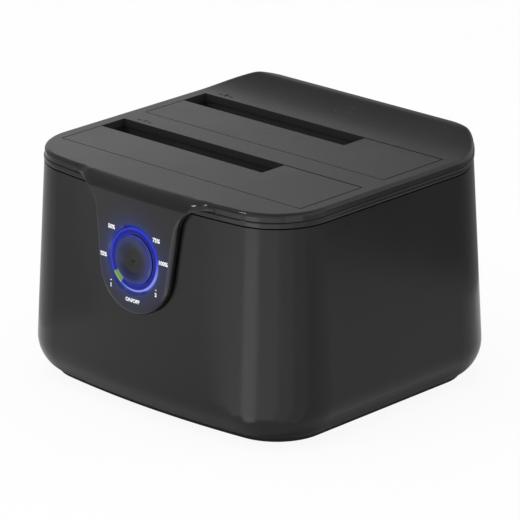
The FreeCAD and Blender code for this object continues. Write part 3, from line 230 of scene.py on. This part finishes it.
def around_button_group():
    """Distance from the button's axis in millimetres, and the angle round it in degrees."""
    graph, _, out = new_group("around_button", {}, ("Radius", "Angle"))
    place = graph.place()
    arm = graph.vector("SUBTRACT", place, tuple(FACE))
    across = graph.share_along(arm, X)
    up = graph.share_along(arm, FACE_UP)
    squares = graph.math("ADD", graph.math("POWER", across, 2.0), graph.math("POWER", up, 2.0))
    graph.feed(out["Radius"], graph.math("DIVIDE", graph.math("SQRT", squares), MM))
    graph.feed(out["Angle"], graph.math("DEGREES", graph.math("ARCTAN2", up, across)))
    return graph.tree


GRAIN = moulded_grain_group()
HAIRLINES = hairlines_group()
DUST = settled_dust_group()
AROUND_BUTTON = around_button_group()


def finish(name, roughness=0.5, metallic=0.0, coat=0.0, ior=1.46):
    """A material with its graph and its Principled shader, whose plain values are set here."""
    material = bpy.data.materials.new(name)
    material.use_nodes = True
    shader = material.node_tree.nodes["Principled BSDF"]
    shader.inputs["Roughness"].default_value = roughness
    shader.inputs["Metallic"].default_value = metallic
    shader.inputs["Coat Weight"].default_value = coat
    shader.inputs["IOR"].default_value = ior
    return material, Graph(material.node_tree), shader


def bump(graph, shader, height, depth_mm):
    node = graph.add("ShaderNodeBump", Height=height, Strength=1.0)
    node.inputs["Distance"].default_value = depth_mm * MM
    graph.feed(shader.inputs["Normal"], node.outputs["Normal"])


PATCH_EDGES = (0.3, 0.7)  # where the grain's slow patches turn from dull to glossy
DUST_GREY = (0.3, 0.29, 0.28, 1.0)


def plastic(name, color, roughness, spread, grain, depth, scratches=0.3, dust=0.1, ior=1.46):
    """Moulded plastic: grain, slow patches of gloss, wiping marks and a little dust.

    spread is how far the gloss varies, grain the pebble's scale and depth its height in millimetres.
    """
    material, graph, shader = finish(name, roughness, ior=ior)
    pebble = graph.group(GRAIN, Scale=grain)
    marks = graph.group(HAIRLINES, Amount=scratches)["Mask"]
    specks = graph.group(DUST, Amount=dust)["Mask"]
    tone = graph.mix(graph.span(pebble["Patches"], *PATCH_EDGES), rgba(color, 0.9), rgba(color, 1.12))
    graph.feed(shader.inputs["Base Color"], graph.mix(specks, tone, DUST_GREY))
    gloss = graph.span(pebble["Patches"], *PATCH_EDGES, roughness - spread, roughness + spread)
    gloss = graph.math("MULTIPLY_ADD", marks, 0.12, gloss)
    graph.feed(shader.inputs["Roughness"], graph.math("MULTIPLY_ADD", specks, 0.4, gloss, clamp=True))
    bump(graph, shader, pebble["Height"], depth)
    return material, graph, shader


def metal(name, color, roughness):
    """Plated or ground metal with fine grain and handling marks."""
    material, graph, shader = finish(name, roughness, metallic=1.0)
    grain = graph.group(GRAIN, Scale=1500.0, Patch_Scale=300.0)
    marks = graph.group(HAIRLINES, Scale=1800.0, Amount=0.8)["Mask"]
    graph.feed(shader.inputs["Base Color"], graph.mix(grain["Patches"], rgba(color, 0.75), rgba(color)))
    gloss = graph.span(grain["Patches"], *PATCH_EDGES, roughness * 0.8, roughness * 1.25)
    graph.feed(shader.inputs["Roughness"], graph.math("MULTIPLY_ADD", marks, 0.2, gloss))
    bump(graph, shader, grain["Height"], 0.004)
    return material, graph, shader


UNLIT = (0.0, 0.0, 0.0, 1.0)


def painted_lamp_spill(graph, shader, rings, color, strength):
    """The ring's light painted as emission on what surrounds it; rings are stops of radius in
    millimetres and share.
    """
    radius = graph.group(AROUND_BUTTON)["Radius"]
    total = 0.0
    for (near, share), (far, next_share) in zip(rings, rings[1:]):
        inside = graph.math("MULTIPLY", graph.math("GREATER_THAN", radius, near),
                            graph.math("LESS_THAN", radius, far))
        level = graph.add("ShaderNodeMapRange", Value=radius, From_Min=near, From_Max=far,
                          To_Min=share, To_Max=next_share)
        total = graph.math("MULTIPLY_ADD", inside, level.outputs["Result"], total)
    facing = graph.add("ShaderNodeNewGeometry").outputs["Normal"]
    front = graph.span(graph.share_along(facing, -PRESS), 0.2, 0.6)
    amount = graph.math("MULTIPLY", total, front)
    graph.feed(shader.inputs["Emission Color"], graph.mix(amount, UNLIT, color))
    shader.inputs["Emission Strength"].default_value = strength


# ---------------------------------------------------------------- finishes of this dock
DECK_PLASTIC = dict(color=(0.009, 0.0086, 0.0087), roughness=0.27, spread=0.02, grain=5000.0,
                    depth=0.0015, ior=1.44)
PLASTICS = {
    "flap_satin_black": DECK_PLASTIC,
    "housing_gloss_black": dict(color=(0.004, 0.0038, 0.0038), roughness=0.2, spread=0.02, grain=2600.0,
                                depth=0.001, scratches=0.4, dust=0.0, ior=1.42),
    "band_gloss_black": dict(color=(0.005, 0.005, 0.005), roughness=0.12, spread=0.02, grain=2600.0,
                             depth=0.0006, dust=0.0),
    "base_matte_black": dict(color=(0.012, 0.012, 0.012), roughness=0.6, spread=0.05, grain=3500.0,
                             depth=0.012, dust=0.0),
    "well_matte_black": dict(color=(0.032, 0.032, 0.034), roughness=0.62, spread=0.05, grain=3500.0,
                             depth=0.012),
    "socket_black_nylon": dict(color=(0.012, 0.012, 0.012), roughness=0.45, spread=0.05, grain=3000.0,
                               depth=0.006),
    "foot_soft_rubber": dict(color=(0.014, 0.014, 0.014), roughness=0.82, spread=0.06, grain=2000.0,
                             depth=0.02, scratches=0.0, dust=0.3),
    "chip_moulded_epoxy": dict(color=(0.018, 0.018, 0.018), roughness=0.55, spread=0.05, grain=2600.0,
                               depth=0.01),
    "port_black_nylon": dict(color=(0.014, 0.014, 0.014), roughness=0.4, spread=0.05, grain=2600.0,
                             depth=0.006),
    "plunger_ivory": dict(color=(0.72, 0.7, 0.62), roughness=0.4, spread=0.04, grain=2600.0,
                          depth=0.004),
    "ribbon_grey": dict(color=(0.38, 0.39, 0.41), roughness=0.45, spread=0.04, grain=2000.0,
                        depth=0.01),
    "lamp_white_body": dict(color=(0.8, 0.8, 0.76), roughness=0.35, spread=0.04, grain=3000.0,
                            depth=0.004),
}
METALS = {
    "screw_zinc_steel": dict(color=(0.5, 0.5, 0.51), roughness=0.35),
    "spring_drawn_steel": dict(color=(0.42, 0.42, 0.44), roughness=0.3),
    "pin_ground_steel": dict(color=(0.58, 0.58, 0.6), roughness=0.22),
    "can_brushed_aluminium": dict(color=(0.75, 0.75, 0.77), roughness=0.32),
}
LOOKS = {
    "body_shell": "housing_gloss_black", "top_cover": "cover_satin_black",
    "trim_band": "band_gloss_black", "base_plate": "base_matte_black",
    "rubber_feet": "foot_soft_rubber", "base_screws": "screw_zinc_steel",
    "light_ring": "ring_frosted_blue", "start_button": "button_satin_black",
    "switch_plunger": "plunger_ivory", "push_switch": "chip_moulded_epoxy",
    "front_board": "board_green_mask", "front_board_screws": "screw_zinc_steel",
    "ring_leds": "lamp_white_body", "ribbon_cable": "ribbon_grey",
    "main_board": "board_green_mask", "board_screws": "screw_zinc_steel",
    "board_chips": "chip_moulded_epoxy", "board_capacitors": "can_brushed_aluminium",
    "usb_port": "port_tinned_steel", "power_jack": "port_black_nylon",
    "switch_housing": "port_black_nylon", "power_rocker": "port_black_nylon",
}
BAY_LOOKS = {
    "door": "flap_satin_black", "hinge_pin": "pin_ground_steel", "door_spring": "spring_drawn_steel",
    "drive_well": "well_matte_black", "drive_socket": "socket_black_nylon",
}
# A paler grey painted on the bay openings' cut walls: painted light in their shade.
CUT_PAINTED_LIGHT_GREY = (0.028, 0.028, 0.03, 1.0)
# The two lists below are the ring's light painted as emission on the tongue and on the cap: radius in
# millimetres and share.
TONGUE_PAINTED_GLOW = ((10.2, 1.0), (11.4, 0.5), (13.0, 0.2), (16.0, 0.06), (20.0, 0.0))
CAP_PAINTED_GLOW = ((2.8, 0.0), (5.0, 0.15), (7.0, 0.45), (7.95, 1.0))


def bay_cuts(graph, upward):
    """One on the cut walls of the deck's bay openings, which are left matte and painted a paler grey,
    painted light on walls that lie in shade.
    """
    low, high = BAYS["front"][0], BAYS["rear"][1]
    place = graph.add("ShaderNodeSeparateXYZ", Vector=graph.place())
    inside = graph.span(upward, 0.2, 0.5, 1.0, 0.0)
    for axis, label in enumerate("XY"):
        away = graph.math("SUBTRACT", place.outputs[label], (low[axis] + high[axis]) / 2)
        limit = (high[axis] - low[axis]) / 2 + MM
        within = graph.math("LESS_THAN", graph.math("ABSOLUTE", away), limit)
        inside = graph.math("MULTIPLY", inside, within)
    return inside


def cover_finish():
    """Deck and tongue: satin on top, glossier down the sides, with the ring's light painted on the
    tongue and painted light on the bay openings' cut walls.
    """
    material, graph, shader = plastic("cover_satin_black", **DECK_PLASTIC)
    upward = graph.share_along(graph.add("ShaderNodeTexCoord").outputs["Normal"], Z)
    sides = graph.span(upward, 0.6, 0.92, 0.5, 1.0)
    gloss = graph.math("MULTIPLY", fed(shader.inputs["Roughness"]), sides)
    cut = bay_cuts(graph, upward)
    graph.feed(shader.inputs["Roughness"], graph.math("MULTIPLY_ADD", cut, 0.4, gloss))
    # The cut walls are painted a paler grey: painted light that lifts them out of their shade.
    plain = fed(shader.inputs["Base Color"])
    graph.feed(shader.inputs["Base Color"], graph.mix(cut, plain, CUT_PAINTED_LIGHT_GREY))
    # The ring's light is painted on the tongue as a blue emission.
    painted_lamp_spill(graph, shader, TONGUE_PAINTED_GLOW, (0.006, 0.03, 0.3, 1.0), 0.6)
    return material


def button_finish():
    """Satin black cap with the ring's light painted on it as emission towards its edge."""
    material, graph, shader = plastic("button_satin_black", (0.005, 0.005, 0.0055), 0.22, 0.03,
                                      5000.0, 0.002, dust=0.0, ior=1.41)
    # The ring's light is painted on the cap as a blue emission.
    painted_lamp_spill(graph, shader, CAP_PAINTED_GLOW, (0.03, 0.05, 0.34, 1.0), 0.8)
    return material


INNER_LINE = (8.25, 8.5)  # radii in millimetres between which the ring's bright lines fade
OUTER_LINE = (9.35, 9.7)
GREEN_STEP = (-148.0, -122.0)  # degrees round the button
STEP_BLUR = 2.0
PAINTED_HIGHLIGHT_SIDE = 60.0  # degrees below the horizontal at which the painted highlight on the outer line is palest


def ring_finish():
    """Frosted light guide, blue with bright lines at its edges and a painted pale highlight on its
    outer line below, and one green progress step.
    """
    material, graph, shader = finish("ring_frosted_blue", 0.3, ior=1.25)
    spot = graph.group(AROUND_BUTTON)
    grain = graph.group(GRAIN, Scale=2500.0, Patch_Scale=500.0)
    inner = graph.span(spot["Radius"], *INNER_LINE, 1.0, 0.0)
    outer = graph.span(spot["Radius"], *OUTER_LINE)
    # A painted highlight: the outer line turns pale lavender on its lower side.
    turn = graph.math("COSINE", graph.math("RADIANS", graph.math("ADD", spot["Angle"], PAINTED_HIGHLIGHT_SIDE)))
    pale = graph.math("MULTIPLY", graph.span(turn, 0.2, 0.95), outer)
    lines = graph.math("MAXIMUM", graph.math("MULTIPLY", inner, 0.4),
                       graph.math("MULTIPLY", outer, 0.7))
    blue = graph.mix(lines, (0.001, 0.003, 0.13, 1.0), (0.02, 0.05, 0.8, 1.0))
    blue = graph.mix(pale, blue, (0.24, 0.3, 0.85, 1.0))
    green = graph.mix(lines, (0.13, 0.3, 0.02, 1.0), (0.35, 0.5, 0.08, 1.0))
    first = graph.span(spot["Angle"], GREEN_STEP[0], GREEN_STEP[0] + STEP_BLUR)
    last = graph.span(spot["Angle"], GREEN_STEP[1] - STEP_BLUR, GREEN_STEP[1], 1.0, 0.0)
    glow = graph.mix(graph.math("MULTIPLY", first, last), blue, green)
    shade = graph.math("MULTIPLY", grain["Patches"], 0.15)
    graph.feed(shader.inputs["Emission Color"], graph.mix(shade, glow, UNLIT))
    shader.inputs["Emission Strength"].default_value = 1.0
    shader.inputs["Base Color"].default_value = (0.01, 0.012, 0.12, 1.0)
    bump(graph, shader, grain["Height"], 0.004)
    return material


def board_finish():
    """Green solder mask with the copper's tracks showing faintly through."""
    material, graph, shader = finish("board_green_mask", 0.3, coat=0.4)
    place = graph.place()
    tracks = graph.add("ShaderNodeTexBrick", {"offset": 0.4, "squash": 0.7}, Vector=place,
                       Scale=180.0, Mortar_Size=0.06)
    grain = graph.group(GRAIN, Scale=2500.0)
    base = graph.mix(tracks.outputs["Fac"], (0.012, 0.11, 0.05, 1.0), (0.02, 0.2, 0.09, 1.0))
    stain = graph.math("MULTIPLY", grain["Patches"], 0.3)
    graph.feed(shader.inputs["Base Color"], graph.mix(stain, base, (0.0, 0.05, 0.02, 1.0)))
    bump(graph, shader, tracks.outputs["Fac"], 0.02)
    return material


PORT_TONGUE = {"X": 2.9 * MM, "Z": 1.7 * MM}  # half its width and half its height


def port_finish():
    """Tinned shell round an ivory tongue."""
    material, graph, shader = metal("port_tinned_steel", (0.62, 0.62, 0.62), 0.3)
    low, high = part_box("usb_port")
    middle = tuple((low + high) / 2)
    offset = graph.add("ShaderNodeSeparateXYZ", Vector=graph.vector("SUBTRACT", graph.place(), middle))
    within = [graph.math("LESS_THAN", graph.math("ABSOLUTE", offset.outputs[label]), half)
              for label, half in PORT_TONGUE.items()]
    tongue = graph.math("MULTIPLY", *within)
    steel = fed(shader.inputs["Base Color"])
    graph.feed(shader.inputs["Base Color"], graph.mix(tongue, steel, (0.7, 0.68, 0.6, 1.0)))
    graph.feed(shader.inputs["Metallic"], graph.math("SUBTRACT", 1.0, tongue))
    return material


def dress_nodes():
    made = {name: plastic(name, **values)[0] for name, values in PLASTICS.items()}
    made.update((name, metal(name, **values)[0]) for name, values in METALS.items())
    for make in (cover_finish, button_finish, ring_finish, board_finish, port_finish):
        material = make()
        made[material.name] = material
    looks = LOOKS | {f"{bay}_{piece}": name for bay in BAYS for piece, name in BAY_LOOKS.items()}
    for node, name in looks.items():
        NODES[node].material_slots[0].material = made[name]


# ---------------------------------------------------------------- printed marks
INK_HEIGHT = 0.02 * MM
STROKE = 0.035  # how much each stroke is thickened, as a share of the letters' size
START = 5 * MM  # how far above the surface a print starts before it is laid down


def drop_onto(node, start, way):
    """Where a line from start meets a node's surface."""
    hit, place, *_ = NODES[node].ray_cast(start, way)
    if not hit:
        raise RuntimeError(f"nothing of {node} lies below {tuple(start)}")
    return place


def printed(name, words, size, node, middle, across, upward, ink, body="dock"):
    """Words laid as a thin print on a node's surface, centred on a point above it."""
    curve = bpy.data.curves.new(name, "FONT")
    curve.body = words
    curve.size = size
    curve.align_x = curve.align_y = "CENTER"
    curve.resolution_u = 3
    curve.extrude = INK_HEIGHT / 2
    curve.offset = size * STROKE
    text = bpy.data.objects.new(name, curve)
    bpy.context.collection.objects.link(text)
    bpy.context.view_layer.update()
    mesh = bpy.data.meshes.new_from_object(text)
    bpy.data.objects.remove(text)
    outward = across.cross(upward)
    for vertex in mesh.vertices:
        spot = middle + across * vertex.co.x + upward * vertex.co.y
        height = INK_HEIGHT / 2 + vertex.co.z
        vertex.co = drop_onto(node, spot, -outward) + outward * height
    mesh.materials.clear()
    mesh.materials.append(ink)
    piece = bpy.data.objects.new(name, mesh)
    bpy.context.collection.objects.link(piece)
    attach(piece, body)


def ink_finish(name, color, roughness, glow=0.0):
    material, graph, shader = finish(name, roughness)
    shader.inputs["Emission Color"].default_value = rgba(color)
    # Glow is painted light: an emission that makes the print brighter than the light on it.
    shader.inputs["Emission Strength"].default_value = glow
    grain = graph.group(GRAIN, Scale=3000.0, Patch_Scale=900.0)
    graph.feed(shader.inputs["Base Color"], graph.mix(grain["Patches"], rgba(color, 0.85), rgba(color)))
    bump(graph, shader, grain["Height"], 0.003)
    return material


BUTTON_MARKS = {  # name: (words, degrees round the button, size in millimetres)
    "mark_25": ("25%", 184, 1.8), "mark_50": ("50%", 138, 1.8), "mark_75": ("75%", 41, 1.8),
    "mark_100": ("100%", 8, 1.8), "mark_one": ("-\n1", 225, 1.8), "mark_two": ("-\n2", 322, 1.7),
    "mark_on": ("ON/OFF", 272, 1.65),
}
MARK_ORBIT = 12.9 * MM
SLOT_MARK_SIZE = 2.6 * MM
SLOT_MARK_INSET = 9 * MM
SLOT_MARK_GAP = 1.2 * MM
ROCKER_MARK_SIZE = 3.0 * MM
ROCKER_MARKS = {"rocker_mark_off": ("O", 0.24), "rocker_mark_on": ("I", 0.74)}  # word, share of height


def button_marks():
    # The white marks get a painted glow, an emission that lifts the print.
    white = ink_finish("ink_white", (0.95, 0.96, 1.0), 0.5, 0.35)
    for name, (words, degrees, size) in BUTTON_MARKS.items():
        angle = math.radians(degrees)
        out = (X * math.cos(angle) + FACE_UP * math.sin(angle)) * MARK_ORBIT
        printed(name, words, size * MM, "top_cover", FACE + out - PRESS * START, X, FACE_UP, white)


def slot_marks():
    black = ink_finish("ink_black", (0.001, 0.001, 0.001), 1.0)
    for number, (bay, (low, high)) in enumerate(BAYS.items(), start=1):
        middle = Vector((low[0] + SLOT_MARK_INSET, high[1] + SLOT_MARK_GAP, DECK + START))
        printed(f"slot_mark_{bay}", f"-- {number} --", SLOT_MARK_SIZE, "top_cover", middle, X, Y, black)


def rocker_marks():
    white = ink_finish("ink_rocker_white", (0.8, 0.8, 0.8), 0.5)
    low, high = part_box("power_rocker")
    for name, (word, share) in ROCKER_MARKS.items():
        height = low[2] + share * (high[2] - low[2])
        middle = Vector(((low[0] + high[0]) / 2, high[1] + START, height))
        printed(name, word, ROCKER_MARK_SIZE, "power_rocker", middle, -X, Z, white,
                "rocker")


# ---------------------------------------------------------------- studio
WHITE = (1.0, 1.0, 1.0, 1.0)
ROOM_LIGHT = 0.45


def camera_rays(graph):
    """One for camera, mirror and see-through rays, which meet the white backdrop."""
    path = graph.add("ShaderNodeLightPath")
    total = graph.math("MAXIMUM", path.outputs["Is Camera Ray"], path.outputs["Is Glossy Ray"])
    return graph.math("MAXIMUM", total, path.outputs["Is Transmission Ray"])


def white_world():
    world = bpy.data.worlds.new("studio")
    bpy.context.scene.world = world
    world.use_nodes = True
    graph = Graph(world.node_tree)
    back = world.node_tree.nodes["Background"]
    back.inputs["Color"].default_value = WHITE
    graph.feed(back.inputs["Strength"], graph.span(camera_rays(graph), 0.0, 1.0, ROOM_LIGHT, 1.0))


FLOOR_REACH = 6.0
FLOOR_DROP = 0.05 * MM
FLOOR_WHITENING = 0.92  # how much of the white backdrop the camera sees in the floor
PAPER = ((0.9, 0.9, 0.9, 1.0), (0.93, 0.93, 0.93, 1.0))
SQUARE = ((-1, -1), (1, -1), (1, 1), (-1, 1))


def flat_piece(name, corners, material):
    """An object of one face."""
    mesh = bpy.data.meshes.new(name)
    mesh.from_pydata(corners, [], [tuple(range(len(corners)))])
    mesh.materials.append(material)
    piece = bpy.data.objects.new(name, mesh)
    bpy.context.collection.objects.link(piece)
    return piece


def pale_floor():
    """A wide pale floor that keeps the dock's soft shadow and is clear from below."""
    material, graph, shader = finish("floor_pale_paper", 0.9)
    fibre = graph.noise(graph.place(), 60.0, 3.0)
    graph.feed(shader.inputs["Base Color"], graph.mix(fibre, *PAPER))
    white = graph.add("ShaderNodeEmission", Color=WHITE, Strength=1.0)
    blend = graph.add("ShaderNodeMixShader")
    path = graph.add("ShaderNodeLightPath")
    graph.feed(blend.inputs[0], graph.span(path.outputs["Is Camera Ray"], 0.0, 1.0, 0.0,
                                         FLOOR_WHITENING))
    graph.feed(blend.inputs[1], shader.outputs[0])
    graph.feed(blend.inputs[2], white.outputs[0])
    clear = graph.add("ShaderNodeBsdfTransparent")
    sides = graph.add("ShaderNodeMixShader")
    graph.feed(sides.inputs[0], graph.add("ShaderNodeNewGeometry").outputs["Backfacing"])
    graph.feed(sides.inputs[1], blend.outputs[0])
    graph.feed(sides.inputs[2], clear.outputs[0])
    graph.feed(material.node_tree.nodes["Material Output"].inputs["Surface"], sides.outputs[0])
    corners = [(x * FLOOR_REACH, y * FLOOR_REACH, -FLOOR_DROP) for x, y in SQUARE]
    floor = flat_piece("floor", corners, material)


SOFTBOXES = {  # name: (place, target and size in metres, power in watts, whether mirrors show it)
    "overhead_softbox": ((-0.1, -0.1, 1.3), (0, 0, 0.05), (1.2, 1.0), 9.5, False),
    "key_softbox": ((-0.35, -0.66, 0.84), (0, 0, 0.04), (0.1, 0.1), 1.2, True),
}


def softbox(name, place, target, size, power, mirrored):
    lamp = bpy.data.lights.new(name, "AREA")
    lamp.shape = "RECTANGLE"
    lamp.size, lamp.size_y = size
    lamp.energy = power
    holder = bpy.data.objects.new(name, lamp)
    holder.location = place
    holder.rotation_euler = (Vector(target) - Vector(place)).to_track_quat("-Z", "Y").to_euler()
    holder.visible_glossy = mirrored
    bpy.context.collection.objects.link(holder)


def studio_card(name, corners, near_tone, far_tone, slope=((0, 0, 0), (1, 0, 0))):
    """A card that shows only in reflections, in millimetres; its tone may run along a slope."""
    material = bpy.data.materials.new(name)
    material.use_nodes = True
    graph = Graph(material.node_tree)
    start, end = (Vector(spot) * MM for spot in slope)
    way = end - start
    arm = graph.vector("SUBTRACT", graph.place(), tuple(start))
    along = graph.share_along(arm, way.normalized())
    run = graph.add("ShaderNodeMapRange", Value=along, From_Max=way.length, To_Min=near_tone,
                    To_Max=far_tone)
    light = graph.add("ShaderNodeEmission", Color=WHITE, Strength=run.outputs["Result"])
    graph.feed(material.node_tree.nodes["Material Output"].inputs["Surface"], light.outputs[0])
    card = flat_piece(name, [Vector(corner) * MM for corner in corners], material)
    card.visible_camera = False
    card.visible_diffuse = False
    card.visible_transmission = False
    card.visible_shadow = False


FRONT_CORNER = Vector((44.0, -44.0, 1.0))  # millimetres, as all the cards are
FAN_REACH = 460
FAN_CARDS = {  # name: (first heading and last heading in degrees, nearest reach, tone)
    "streak_card": (-13, 12, 14, 2.2), "front_card": (-34, -13, 22, 1.35),
    "corner_card": (12, 48, 18, 1.4), "turn_card": (48, 72, 18, 1.1), "side_card": (72, 95, 18, 0.85),
}
LOW_CARDS = {  # name: (corners on the floor, height, tone)
    "left_card": (((-95, -120), (-95, 500), (-600, 500), (-600, -400)), 1, 0.62),
    "right_card": (((62, -60), (500, -150), (500, 130), (62, 130)), 0.5, 0.66),
    "back_card": (((-90, 130), (500, 130), (500, 500), (-90, 500)), 1, 0.32),
    "canopy_card": (((-1000, -900), (800, -900), (800, 900), (-1000, 900)), 900, 0.5),
}
STANDING_CARDS = {  # name: (heading in degrees, reach, half width, foot, top, tone)
    "roll_card": (-54, 750, 520, 1, 900, 0.5), "scoop_card": (-120, 560, 460, 1, 900, 0.42),
}
DECK_CARD = (-137, 260, 260, 85, 212)
DECK_TONES = (0.78, 0.32)
DECK_SLOPE = (-75, 85)


def heading(degrees):
    """Level direction at an angle from the front towards the right."""
    angle = math.radians(degrees)
    return Vector((math.sin(angle), -math.cos(angle), 0.0))


def fan(start, end, near):
    """Corners of a low card that fans out from under the dock's front corner."""
    spots = ((start, near), (start, FAN_REACH), ((start + end) / 2, FAN_REACH), (end, FAN_REACH),
             (end, near))
    return [FRONT_CORNER + heading(degrees) * reach for degrees, reach in spots]


def upright(degrees, reach, half, foot, top):
    """Corners of an upright card that faces the dock, with its middle and its level direction."""
    away = heading(degrees)
    side = Vector((away.y, -away.x, 0.0))
    middle = away * reach
    spots = ((-half, foot), (half, foot), (half, top), (-half, top))
    return [middle + side * across + Z * height for across, height in spots], middle, side


def studio():
    white_world()
    pale_floor()
    for name, values in SOFTBOXES.items():
        softbox(name, *values)
    for name, (*place, tone) in FAN_CARDS.items():
        studio_card(name, fan(*place), tone, tone)
    for name, (spots, height, tone) in LOW_CARDS.items():
        studio_card(name, [(x, y, height) for x, y in spots], tone, tone)
    for name, (*place, tone) in STANDING_CARDS.items():
        studio_card(name, upright(*place)[0], tone, tone)
    corners, middle, side = upright(*DECK_CARD)
    studio_card("deck_card", corners, *DECK_TONES, [middle + side * end for end in DECK_SLOPE])


# ---------------------------------------------------------------- camera
VIEW_AZIMUTH, VIEW_ELEVATION, VIEW_ROLL = 43.32, 19.45, -0.15
VIEW_DISTANCE = 1305.8 * MM
AIM_OFFSET = Vector((1.4, 0.2, -2.3)) * MM
LENS = 285.2
SENSOR = 36.0


def camera():
    elevation = math.radians(VIEW_ELEVATION)
    back = heading(VIEW_AZIMUTH) * math.cos(elevation) + Z * math.sin(elevation)
    aim = (cad_low + cad_high) / 2 + AIM_OFFSET
    data = bpy.data.cameras.new("camera")
    data.lens = LENS
    data.sensor_width = SENSOR
    data.clip_start, data.clip_end = 0.01, 50.0
    holder = bpy.data.objects.new("camera", data)
    holder.location = aim + back * VIEW_DISTANCE
    level = (-back).to_track_quat("-Z", "Y").to_matrix()
    roll = Matrix.Rotation(math.radians(VIEW_ROLL), 3, "Z")
    holder.rotation_euler = (level @ roll).to_euler()
    bpy.context.collection.objects.link(holder)
    bpy.context.scene.camera = holder
    bpy.context.scene.view_settings.view_transform = "Standard"


dress_nodes()
button_marks()
slot_marks()
rocker_marks()
studio()
camera()
